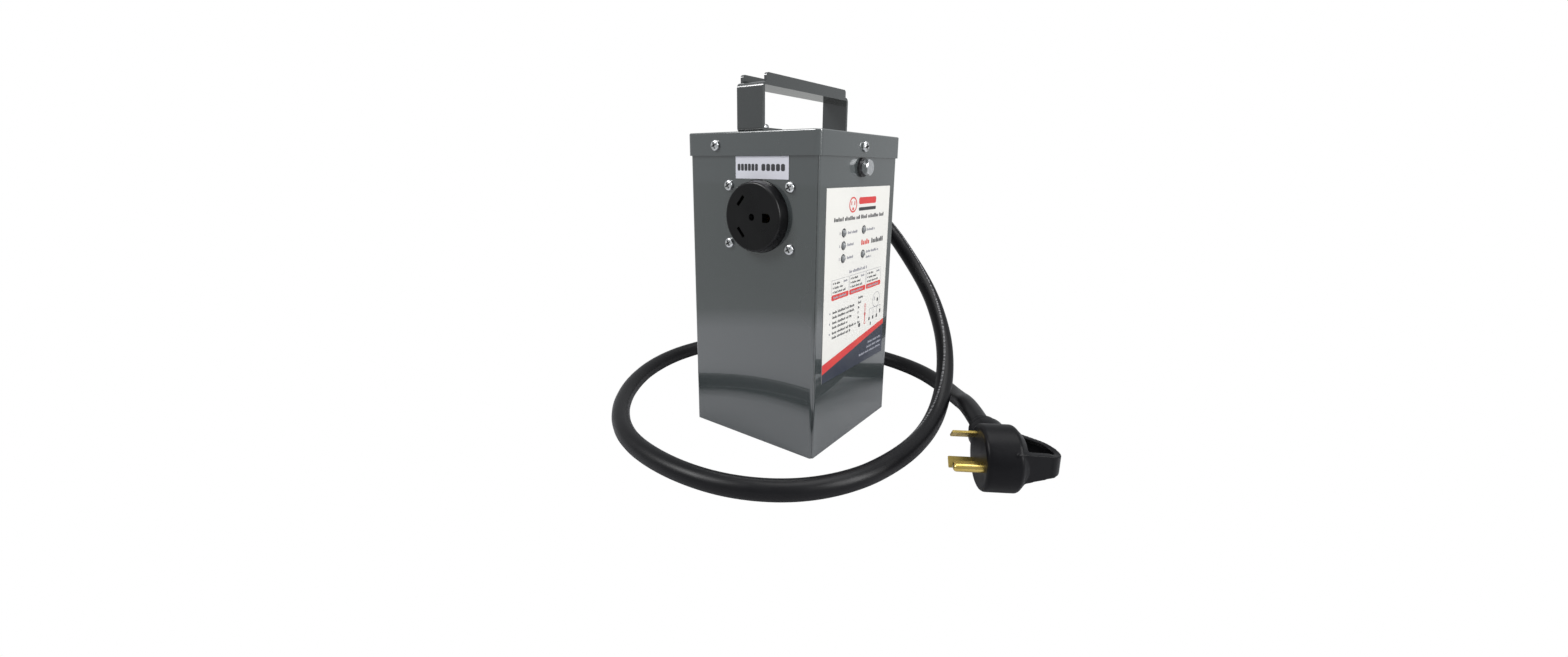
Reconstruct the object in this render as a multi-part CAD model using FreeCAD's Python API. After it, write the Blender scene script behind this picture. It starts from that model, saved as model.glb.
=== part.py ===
import FreeCAD, Part
import math
import os
from FreeCAD import Vector

# Plug-in surge and voltage protector box for a 30 A travel trailer supply.
# Millimetres, +Z up.  The origin is the centre of the base's underside.
# -Y is the outlet side, +X the label side, +Y the side that the supply cord leaves.

# ---------------------------------------------------------------- driving sizes
BOX_WIDTH = 127.0            # along X, five inches
BOX_DEPTH = 127.0            # along Y
BOX_HEIGHT = 254.0           # to the top of the lid, ten inches
SHEET = 1.5                  # steel sheet of the shell, lid and base
SHELL_CORNER = 3.0           # outer radius of the folded vertical corners
SEAM_WIDTH = 0.7             # open joint of the wrapped sheet, at the outlet side's right corner
SEAM_DEPTH = 0.6
LID_SKIRT = 18.0             # height of the lid's turned-down edge
LID_CLEARANCE = 0.25         # gap between the lid's skirt and the shell
LID_EDGE = 1.2               # rounding of the lid's outer edges
BASE_FLANGE = 12.0           # upturned edge of the base, welded inside the shell
CONTACT_GAP = 0.3            # running clearance round loose parts

HANDLE_WIDTH = 25.4          # strap width, along X
HANDLE_SHEET = 2.5
HANDLE_REACH = 62.5          # outer face of each leg from the centre
HANDLE_CLEAR = 33.0          # lid to the underside of the grip
HANDLE_LIP = 6.5             # how far the grip's edges turn up above it
HANDLE_LIP_INSET = 4.5       # from the leg's outer face to the end of a lip
HANDLE_FOOT = 22.0
HANDLE_BEND = 4.0
HANDLE_SCREW_Y = 48.0

OUTLET_X = 9.5
OUTLET_Z = 190.0
OUTLET_RADIUS = 28.0         # where the face comes through the panel
OUTLET_FRONT_RADIUS = 26.5
OUTLET_PROUD = 9.0
OUTLET_SCREW_DX = 30.0       # half the screw spacing along X
OUTLET_SCREW_DZ = 23.0
OUTLET_FLANGE = 4.0
OUTLET_MARGIN = 6.0          # flange edge beyond the screws
OUTLET_REAR_RADIUS = 24.0
OUTLET_JOINT_Y = 13.5        # depth behind the panel's face where the two mouldings meet
OUTLET_BACK_Y = 35.5         # depth of the rear moulding's back
YOKE_SHEET = 1.2
BLADE_WIDTH = 8.4
BLADE_THICK = 1.8
BLADE_RADIUS = 16.3          # blade centre from the axis
BLADE_ANGLE = 132.0          # from the ground pin, each way
BLADE_TURN = 50.0            # blade's own lean from the ground axis
BLADE_LENGTH = 18.0
GROUND_RADIUS = 14.2
GROUND_WIDTH = 6.8
GROUND_HEIGHT = 6.0
GROUND_LENGTH = 21.0
GROUND_TIP = 2.2             # rounding of the ground pin's tip
GROUND_GROOVE = 2.8          # groove along the pin's flat side
GROUND_ROOT = 2.0            # where the groove starts beyond the face
GROUND_NOSE = 4.5            # solid length at the tip
PIN_DEPTH = 10.0             # how far the pins reach into the plug
SOCKET_GAP = 0.45            # slot wall to blade
SPRING_SHEET = 0.8           # brass of the contacts
TERMINAL_SHEET = 1.2
TERMINAL_SIZE = 9.0
TERMINAL_STEP = 6.5          # screw from the contact's stem, towards the axis
TERMINAL_HOLE = 4.5
TERMINAL_GRIP = 1.2          # wire's seat beyond the contact's stem

LABEL_THICK = 0.3
OUTPUT_LABEL = (-13.5, 37.8, 218.6, 235.6)
STATUS_LABEL = (-52.0, 52.5, 60.5, 212.8)
LAMP_RADIUS = 2.7
LAMP_PROUD = 2.0
LAMPS = ((-25.0, 178.0), (-25.0, 168.0), (-25.0, 157.8), (7.5, 178.0), (7.5, 157.8))
LAMP_BOARD = (-40.0, 22.0, 148.0, 188.0)
LAMP_BOARD_X = 54.0

GROUND_BOLT_Z = 228.0
BOLT_RADIUS = 3.15
BOLT_FLATS = 11.1
BOLT_HEAD = 4.4
BOLT_SHANK = 16.0
BOLT_SPIN = 12.0             # how the head happens to be turned
HEX_CROWN = 0.97             # flat on top of a hexagon, as a share of the flats
LUG_SHEET = 1.0              # ring terminal
LUG_RADIUS = 6.0
LUG_TONGUE = 2.5
LUG_BARREL = 3.0
LUG_BARREL_LENGTH = 9.0
GROUND_NUT = 5.2
GROUND_WASHER_RADIUS = 7.5
GROUND_WASHER = 2.0
SPRING_WASHER = 1.6

GLAND_X = -34.0
GLAND_Z = 205.0
GLAND_WALL = 3.0             # from the cord's surface to the gland's thread
GLAND_HEX = 6.0              # length of the body's hexagon
GLAND_STEM = 10.5            # thread inside the box
GLAND_COLLAR = 14.5          # thread outside the box
GLAND_SEAL_START = 8.0
GLAND_SEAL_LENGTH = 9.0
GLAND_SEAL_ROOM = 1.0        # seal's length that the body leaves free for the cap to squeeze
GLAND_CAP_WALL = 3.0
GLAND_CAP_ROUND = 4.5
GLAND_CAP_ROOM = 2.6
GLAND_GROOVES = 12
GLAND_GROOVE_RADIUS = 1.6
GLAND_LOCKNUT = 5.0
GLAND_LENGTH = 26.5          # panel to the cap nut's outer face
CORD_DIAMETER = 16.0
CORD_BORE_GAP = 0.2
TAIL_END = 46.0              # where the cord's jacket ends inside the box
ARC_SHARE = 0.45             # share of the shorter run that an arc may use

PLUG_FACE = (180.2, -21.6)   # centre of the plug's face on the floor plan
PLUG_HEADING = 212.0         # degrees, the way the blades point
PLUG_RADIUS = 24.0
PLUG_BODY = 30.0
PLUG_EDGE = 3.0
PLUG_SHOULDER = 6.0
PLUG_ROLL = -3.0             # turn of the pin pattern about the plug's axis
LOOP_REACH = 26.8            # loop's tip beyond the body
LOOP_START = 20.0            # where the loop's arms root in the body, behind the face
LOOP_ROOT_X = 21.0           # outer face of each arm at its root
LOOP_SHOULDER = 28.0         # behind the face, where the loop's edges begin to slope
LOOP_TOP = (13.2, 6.4)       # upper edge over the axis, at the shoulder and at the tip
LOOP_UNDER = (9.8, 7.4)      # lower edge under the axis, at the shoulder and at the tip
LOOP_WALL = 5.0
LOOP_TIP = 12.0              # outer radius of the loop's tip
BOOT_SETBACK = 16.0          # boot axis behind the plug's face
BOOT_ROOT_DEPTH = 8.0        # boot inside the plug
BOOT_STEPS = ((13.5, 14.0), (10.8, 23.0), (9.0, 30.0))   # radius of each knuckle and its end
BOOT_NECK = 1.4              # depth of the groove between knuckles
BOOT_NECK_WIDTH = 1.6
BOOT_EASE = 0.9
BOOT_LENGTH = BOOT_STEPS[-1][1]

CORE_WIDTH = 96.0
CORE_HEIGHT = 80.0
CORE_STACK = 44.0
CORE_YOKE = 16.0             # width of the outer legs and yokes
CORE_LIFT = 2.5              # core above the base's floor
CORE_BOLT_INSET = 8.0
STUD_INSET = 14.0            # studs inboard of the core bolts
STUD_HEAD = 3.6              # flush head of the studs pressed into the base
COIL_GAP = 0.2
FRAME_GAP = 1.0              # core frame round the winding

BOARD_SHEET = 1.6
BOARD_X = -52.0              # back face of the control board
BOARD_Y = 45.0               # half its length
BOARD_Z = (104.0, 200.0)
BOARD_HOLE = 5.0             # mounting hole in from each edge
FUSE_STAND = 4.0             # fuse's axis off the board
FUSE_LENGTH = 12.0
FUSE_Y = -36.0
FUSE_Z = 118.0

RELAY_Y = 0.0                # back of the relay's frame
RELAY_Z = 150.0
RELAY_OPEN = 5.0             # degrees that the armature stands open
RELAY_GAP = 0.15             # air left between armature and frame when closed

RELAY_HALF = 11.0            # half its width
RELAY_FRONT = 28.0           # length of its base
RELAY_BACK = 4.0             # base behind the frame
RELAY_BASE_SHEET = 3.0
RELAY_FRAME = 2.0            # iron of the frame
RELAY_FRAME_RISE = 18.0
RELAY_FRAME_HALF = 6.0
RELAY_COIL_Y = 10.5          # pole's axis from the frame's back
RELAY_CONTACT_Y = 22.5       # contacts' axis from the frame's back
RELAY_POLE = 2.8
RELAY_POLE_HEAD = 4.5
RELAY_CONTACT = 1.6          # radius of the contacts
RELAY_CONTACT_RISE = 1.0
RELAY_PLATE = 1.5            # armature's sheet
RELAY_PLATE_END = 25.0
RELAY_COVER = 1.0
RELAY_COVER_RISE = 6.0       # room over the armature

DISC_RADIUS = 10.0           # surge varistors
DISC_THICK = 5.0
DISC_STAND = 13.0            # disc's centre off the board
DISC_Y = (-34.0, -24.0, -14.0)
DISC_LEAD = 0.5
DISC_LEAD_GAP = 7.5
TERMINAL_BLOCK_HALF = 20.0
TERMINAL_BLOCK_DEEP = 12.0
TERMINAL_BLOCK_Z = (176.0, 190.0)
TERMINAL_PITCH = 24.0        # between the two wires
TERMINAL_BORE = 2.6
TERMINAL_BORE_DEEP = 6.0

WIRE_DIAMETER = 4.2
WIRE_SPREAD = 4.2            # line and neutral, each side of the cord's axis
WIRE_DROP = 2.4              # line and neutral under the cord's axis
WIRE_RISE = 4.6              # ground over the cord's axis

HALF_W = BOX_WIDTH / 2.0
HALF_D = BOX_DEPTH / 2.0
INNER_W = HALF_W - SHEET
INNER_D = HALF_D - SHEET
SHELL_TOP = BOX_HEIGHT - SHEET
FLOOR_TOP = SHEET
BOARD_FACE = BOARD_X + BOARD_SHEET
CORD_RADIUS = CORD_DIAMETER / 2.0
GLAND_THREAD = CORD_RADIUS + GLAND_WALL
GLAND_FLATS = 2 * (GLAND_THREAD + GLAND_CAP_WALL)
GLAND_LOCKNUT_FLATS = GLAND_FLATS + 2.0
GLAND_END = HALF_D + GLAND_LENGTH
TERMINAL_X = BOARD_FACE + TERMINAL_BLOCK_DEEP / 2.0

X_AXIS = Vector(1, 0, 0)
Y_AXIS = Vector(0, 1, 0)
Z_AXIS = Vector(0, 0, 1)

# Screw sizes: (shank radius, head radius, head height)
LID_SCREW = (2.1, 4.1, 2.6)
BOARD_SCREW = (1.5, 2.8, 1.8)
HANDLE_SCREW = (3.0, 5.6, 3.6)
CORE_SCREW = (2.4, 4.4, 3.0)
CORE_NUT = (8.0, 4.0)        # across flats and height
CORE_HEAD = 3.2
STUD_LENGTH = 12.0
TERMINAL_SCREW = (1.9, 3.5, 2.2)

PARTS = {}


# ---------------------------------------------------------------- helpers
def add(name, *shapes):
    """Keep one node, one or more separate solids."""
    PARTS[name] = shapes[0] if len(shapes) == 1 else Part.makeCompound(list(shapes))


def block(x0, x1, y0, y1, z0, z1):
    return Part.makeBox(x1 - x0, y1 - y0, z1 - z0, Vector(x0, y0, z0))


def rod(radius, start, direction, length):
    return Part.makeCylinder(radius, length, start, direction)


def ring(outer, inner, start, direction, length):
    return rod(outer, start, direction, length).cut(rod(inner, start, direction, length))


def upright_edges(shape):
    """Edges that run along Z."""
    found = []
    for edge in shape.Edges:
        if len(edge.Vertexes) == 2:
            span = edge.Vertexes[1].Point - edge.Vertexes[0].Point
            if abs(span.x) < 1e-6 and abs(span.y) < 1e-6:
                found.append(edge)
    return found


def rounded_block(x0, x1, y0, y1, z0, z1, radius):
    body = block(x0, x1, y0, y1, z0, z1)
    return body.makeFillet(radius, upright_edges(body))


def stand(shape, origin, direction, spin=0.0):
    """Turn a shape made along +Z to point along direction, then move it to origin."""
    placed = shape.copy()
    placed.rotate(Vector(0, 0, 0), Z_AXIS, spin)
    turn = FreeCAD.Rotation(Z_AXIS, direction)
    placed.Placement = FreeCAD.Placement(origin, turn).multiply(placed.Placement)
    return placed


def hex_prism(flats, height, bore=0.0):
    """Hexagon along +Z from the origin, with its corners eased at the top."""
    corner = flats / math.sqrt(3.0)
    points = []
    for step in range(7):
        angle = math.radians(60.0 * step)
        points.append(Vector(corner * math.cos(angle), corner * math.sin(angle), 0))
    prism = Part.Face(Part.makePolygon(points)).extrude(Vector(0, 0, height))
    crown = flats / 2.0 * HEX_CROWN
    ease = Part.makeCone(crown + height * math.sqrt(3.0), crown, height)
    prism = prism.common(ease)
    if bore > 0.0:
        prism = prism.cut(rod(bore, Vector(0, 0, -1), Z_AXIS, height + 2.0))
    return prism


def pan_screw(size, length, cross=True):
    """Screw with its head's seat at the origin, head along +Z, shank along -Z."""
    shank_radius, head_radius, head_height = size
    head = rod(head_radius, Vector(0, 0, 0), Z_AXIS, head_height)
    top = [edge for edge in head.Edges if edge.BoundBox.ZMin > head_height - 1e-6]
    head = head.makeFillet(head_height * 0.6, top)
    if cross:
        arm = head_radius * 0.62
        slit = head_radius * 0.14
        floor = head_height * 0.45
        head = head.cut(block(-arm, arm, -slit, slit, floor, head_height + 1.0))
        head = head.cut(block(-slit, slit, -arm, arm, floor, head_height + 1.0))
    return head.fuse(rod(shank_radius, Vector(0, 0, -length), Z_AXIS, length))


def group(shape, places, direction, spin=0.0):
    """One copy of a shape at each place."""
    return [stand(shape, place, direction, spin) for place in places]


def bent_path(points, label):
    """Straight runs joined by tangent arcs, each as large as its two runs allow."""
    edges = []
    start = points[0]
    tightest = None
    for before, corner, after in zip(points, points[1:], points[2:]):
        run_in = corner - before
        run_out = after - corner
        shorter = min(run_in.Length, run_out.Length)
        turn = run_in.getAngle(run_out)
        radius = ARC_SHARE * shorter / math.tan(turn / 2.0)
        tightest = radius if tightest is None else min(tightest, radius)
        heading_in = Vector(run_in).normalize()
        heading_out = Vector(run_out).normalize()
        arc_start = corner - heading_in * (ARC_SHARE * shorter)
        arc_end = corner + heading_out * (ARC_SHARE * shorter)
        inward = (heading_out - heading_in).normalize()
        centre = corner + inward * (radius / math.cos(turn / 2.0))
        middle = centre - inward * radius
        edges.append(Part.LineSegment(start, arc_start).toShape())
        edges.append(Part.Arc(arc_start, middle, arc_end).toShape())
        start = arc_end
        if label:
            print(label, "radius %.0f mm" % radius)
    edges.append(Part.LineSegment(start, points[-1]).toShape())
    return Part.Wire(edges)


def tube_along(points, diameter, label=""):
    """Round solid along a bent path."""
    path = bent_path(points, label)
    heading = points[1] - points[0]
    section = Part.Wire(Part.makeCircle(diameter / 2.0, points[0], heading))
    tube = path.makePipeShell([section], True, False)
    if label:
        expected = math.pi * diameter * diameter / 4.0 * path.Length
        print(label, "length %.0f mm, volume share %.4f" % (path.Length, tube.Volume / expected))
    return tube


# ---------------------------------------------------------------- places shared by mating parts
def outlet_point(dx, depth, dz):
    """Point of the outlet: depth is behind the panel's outer face."""
    return Vector(OUTLET_X + dx, -HALF_D + depth, OUTLET_Z + dz)


OUTLET_SCREWS = [outlet_point(sx * OUTLET_SCREW_DX, 0.0, sz * OUTLET_SCREW_DZ)
                 for sx in (-1, 1) for sz in (-1, 1)]
HANDLE_SCREWS = [Vector(0, side * HANDLE_SCREW_Y, BOX_HEIGHT + HANDLE_SHEET) for side in (-1, 1)]
LID_SCREW_Z = BOX_HEIGHT - 10.2
LID_HALF_W = HALF_W + LID_CLEARANCE + SHEET
LID_HALF_D = HALF_D + LID_CLEARANCE + SHEET
LID_SCREWS = (
    (Vector(-33.0, -LID_HALF_D, LID_SCREW_Z), Vector(0, -1, 0)),
    (Vector(LID_HALF_W, 0, LID_SCREW_Z), Vector(1, 0, 0)),
    (Vector(33.0, LID_HALF_D, LID_SCREW_Z), Vector(0, 1, 0)),
    (Vector(-LID_HALF_W, 0, LID_SCREW_Z), Vector(-1, 0, 0)),
)
GROUND_BOLT = Vector(HALF_W, 0, GROUND_BOLT_Z)
GLAND = Vector(GLAND_X, HALF_D, GLAND_Z)
LUG_X = INNER_W - 3.0
LUG_END_Y = 12.0
BOARD_POSTS = [Vector(BOARD_FACE, sy * (BOARD_Y - BOARD_HOLE), z)
               for sy in (-1, 1) for z in (BOARD_Z[0] + BOARD_HOLE, BOARD_Z[1] - BOARD_HOLE)]
LAMP_POSTS = [Vector(LAMP_BOARD_X, y, z) for y in (LAMP_BOARD[0] + 4.0, LAMP_BOARD[1] - 4.0)
              for z in (LAMP_BOARD[2] + 4.0, LAMP_BOARD[3] - 4.0)]
CORE_Z = FLOOR_TOP + CORE_LIFT
CORE_TOP = CORE_Z + CORE_HEIGHT
WINDOW_Z = (CORE_Z + CORE_YOKE, CORE_TOP - CORE_YOKE)
WINDOW_X = (CORE_WIDTH / 4.0 - CORE_YOKE / 2.0, CORE_WIDTH / 2.0 - CORE_YOKE)
CORE_BOLT_X = CORE_WIDTH / 2.0 - CORE_BOLT_INSET
CORE_BOLT_Z = (CORE_Z + CORE_BOLT_INSET, CORE_TOP - CORE_BOLT_INSET)
BRACKET_SHEET = 2.0
FOOT_REACH = 12.0
FOOT_Y = CORE_STACK / 2.0 + BRACKET_SHEET + FOOT_REACH / 2.0
FOOT_STUDS = [Vector(sx * (CORE_BOLT_X - STUD_INSET), sy * FOOT_Y, FLOOR_TOP + BRACKET_SHEET)
              for sx in (-1, 1) for sy in (-1, 1)]


CONTACT_PLACES = ((BLADE_RADIUS, BLADE_ANGLE), (BLADE_RADIUS, -BLADE_ANGLE), (GROUND_RADIUS, 0.0))


def on_outlet_face(radius, angle):
    """Point of the outlet's own plan at a radius and an angle in degrees."""
    turn = math.radians(angle)
    return Vector(radius * math.cos(turn), radius * math.sin(turn), 0)


TERMINALS = [on_outlet_face(radius - TERMINAL_STEP, angle) for radius, angle in CONTACT_PLACES]
WIRE_SEATS = [on_outlet_face(radius + TERMINAL_GRIP, angle) for radius, angle in CONTACT_PLACES]


# ---------------------------------------------------------------- enclosure
def make_shell():
    outer = rounded_block(-HALF_W, HALF_W, -HALF_D, HALF_D, 0, SHELL_TOP, SHELL_CORNER)
    inner = rounded_block(-INNER_W, INNER_W, -INNER_D, INNER_D, -1.0, SHELL_TOP + 1.0,
                          SHELL_CORNER - SHEET)
    shell = outer.cut(inner)
    seam = block(-SEAM_DEPTH, SEAM_DEPTH, -SEAM_WIDTH / 2.0, SEAM_WIDTH / 2.0, -1.0, SHELL_TOP + 1.0)
    seam.rotate(Vector(0, 0, 0), Z_AXIS, -45.0)
    fold = SHELL_CORNER * (1.0 - math.sqrt(0.5))
    seam.translate(Vector(HALF_W - fold, -HALF_D + fold, 0))
    shell = shell.cut(seam)
    shell = shell.cut(rod(OUTLET_RADIUS + CONTACT_GAP, outlet_point(0, -1.0, 0), Y_AXIS, SHEET + 2.0))
    for place in OUTLET_SCREWS:
        shell = shell.cut(rod(LID_SCREW[0] + CONTACT_GAP, place - Y_AXIS, Y_AXIS, SHEET + 2.0))
    for place, outward in LID_SCREWS:
        shell = shell.cut(rod(LID_SCREW[0], place + outward, outward * -1, 8.0))
    for y, z in LAMPS:
        shell = shell.cut(rod(LAMP_RADIUS + CONTACT_GAP, Vector(INNER_W - 1, y, z), X_AXIS, SHEET + 2))
    shell = shell.cut(rod(BOLT_RADIUS + CONTACT_GAP, GROUND_BOLT - X_AXIS * 3, X_AXIS, 4.0))
    shell = shell.cut(rod(GLAND_THREAD + CONTACT_GAP, GLAND - Y_AXIS * 3, Y_AXIS, 4.0))
    add("enclosure_shell", shell)


def make_base():
    """Flat base with its edges turned up, welded inside the shell's foot."""
    pan = rounded_block(-INNER_W, INNER_W, -INNER_D, INNER_D, 0, BASE_FLANGE, SHELL_CORNER - SHEET)
    hollow = block(-INNER_W + SHEET, INNER_W - SHEET, -INNER_D + SHEET, INNER_D - SHEET,
                   FLOOR_TOP, BASE_FLANGE + 1.0)
    pan = pan.cut(hollow)
    for place in FOOT_STUDS:
        pan = pan.cut(rod(STUD_HEAD, Vector(place.x, place.y, -1), Z_AXIS, SHEET + 2))
    add("base_pan", pan)


def make_lid():
    outer = rounded_block(-LID_HALF_W, LID_HALF_W, -LID_HALF_D, LID_HALF_D,
                          BOX_HEIGHT - LID_SKIRT, BOX_HEIGHT, SHELL_CORNER + LID_CLEARANCE + SHEET)
    top_edges = [edge for edge in outer.Edges if edge.BoundBox.ZMin > BOX_HEIGHT - 1e-6]
    outer = outer.makeFillet(LID_EDGE, top_edges)
    gap = LID_CLEARANCE
    inner = rounded_block(-HALF_W - gap, HALF_W + gap, -HALF_D - gap, HALF_D + gap,
                          BOX_HEIGHT - LID_SKIRT - 1.0, SHELL_TOP, SHELL_CORNER + gap)
    lid = outer.cut(inner)
    for place, outward in LID_SCREWS:
        lid = lid.cut(rod(LID_SCREW[0] + CONTACT_GAP, place + outward, outward * -1, 3.0))
    for place in HANDLE_SCREWS:
        lid = lid.cut(rod(HANDLE_SCREW[0] + CONTACT_GAP, place - Z_AXIS * 8, Z_AXIS, 8.0))
    add("lid", lid)
    screw = pan_screw(LID_SCREW, 9.5)
    add("lid_screws", *[stand(screw, place, outward, 20.0) for place, outward in LID_SCREWS])


def make_handle():
    """Strap bent into two feet, two legs and a grip whose long edges turn up."""
    half = HANDLE_WIDTH / 2.0
    top = BOX_HEIGHT + HANDLE_CLEAR + HANDLE_SHEET
    outer = block(-half, half, -HANDLE_REACH, HANDLE_REACH, BOX_HEIGHT, top)
    bends = [edge for edge in outer.Edges
             if abs(edge.BoundBox.YMin - edge.BoundBox.YMax) < 1e-6
             and edge.BoundBox.ZMin > top - 1e-6]
    outer = outer.makeFillet(HANDLE_BEND, bends)
    feet = [edge for edge in outer.Edges
            if abs(edge.BoundBox.YMin - edge.BoundBox.YMax) < 1e-6
            and edge.BoundBox.ZMax < BOX_HEIGHT + 1e-6]
    outer = outer.makeFillet(HANDLE_SHEET, feet)
    inside = HANDLE_REACH - HANDLE_SHEET
    space = block(-half - 1, half + 1, -inside, inside, BOX_HEIGHT + HANDLE_SHEET, top - HANDLE_SHEET)
    strap = outer.cut(space)
    gap_y = inside - HANDLE_FOOT
    between = block(-half - 1, half + 1, -gap_y, gap_y, BOX_HEIGHT - 1, BOX_HEIGHT + HANDLE_SHEET)
    strap = strap.cut(between)
    lip_y = HANDLE_REACH - HANDLE_LIP_INSET
    for side in (-1, 1):
        x0 = min(side * half, side * (half - HANDLE_SHEET))
        lip = block(x0, x0 + HANDLE_SHEET, -lip_y, lip_y, top - HANDLE_SHEET / 2.0, top + HANDLE_LIP)
        ends = [edge for edge in lip.Edges
                if abs(edge.BoundBox.YMin - edge.BoundBox.YMax) < 1e-6
                and edge.BoundBox.ZMin > top + HANDLE_LIP - 1e-6]
        strap = strap.fuse(lip.makeFillet(HANDLE_SHEET, ends))
    strap = strap.removeSplitter()
    for place in HANDLE_SCREWS:
        strap = strap.cut(rod(HANDLE_SCREW[0] + CONTACT_GAP, place - Z_AXIS * 4, Z_AXIS, 8.0))
    add("carry_handle", strap)
    add("handle_screws", *group(pan_screw(HANDLE_SCREW, 11.0), HANDLE_SCREWS, Z_AXIS))
    nut = hex_prism(10.0, 5.0, HANDLE_SCREW[0])
    under = [Vector(place.x, place.y, SHELL_TOP) for place in HANDLE_SCREWS]
    add("handle_nuts", *group(nut, under, Vector(0, 0, -1)))


# ---------------------------------------------------------------- pin pattern shared by outlet and plug
def pin_places():
    """(radius, angle, lean) of the line blade, neutral blade; ground pin lies at angle zero."""
    return (
        (BLADE_RADIUS, BLADE_ANGLE, BLADE_TURN),
        (BLADE_RADIUS, -BLADE_ANGLE, -BLADE_TURN),
    )


def blade_solid(radius, angle, lean, width, thickness, z0, z1):
    """Blade along +Z with its centre at the given place in the XY plane."""
    blade = block(-width / 2.0, width / 2.0, -thickness / 2.0, thickness / 2.0, z0, z1)
    blade.rotate(Vector(0, 0, 0), Z_AXIS, lean)
    spot = math.radians(angle)
    blade.translate(Vector(radius * math.cos(spot), radius * math.sin(spot), 0))
    return blade


def ground_solid(grow, z0, z1):
    """D-shaped ground pin or hole along +Z, round side away from the axis."""
    half = GROUND_HEIGHT / 2.0 + grow
    flat = block(GROUND_RADIUS - GROUND_WIDTH / 2.0 - grow, GROUND_RADIUS + GROUND_WIDTH / 2.0 - half + grow,
                 -half, half, z0, z1)
    nose = rod(half, Vector(GROUND_RADIUS + GROUND_WIDTH / 2.0 + grow - half, 0, z0), Z_AXIS, z1 - z0)
    return flat.fuse(nose).removeSplitter()


def set_down(shape, across, up, outward, origin):
    """Place a shape drawn along +Z so that its X, Y and Z lie along the three given ways."""
    turn = FreeCAD.Rotation(across, up, outward, "XYZ")
    placed = shape.copy()
    placed.Placement = FreeCAD.Placement(origin, turn).multiply(placed.Placement)
    return placed


def outlet_stand(shape):
    """Move a shape drawn along +Z, panel at zero, to the outlet; its +Z looks out of the panel."""
    return set_down(shape, X_AXIS, Z_AXIS, Y_AXIS * -1, outlet_point(0, 0, 0))


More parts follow.
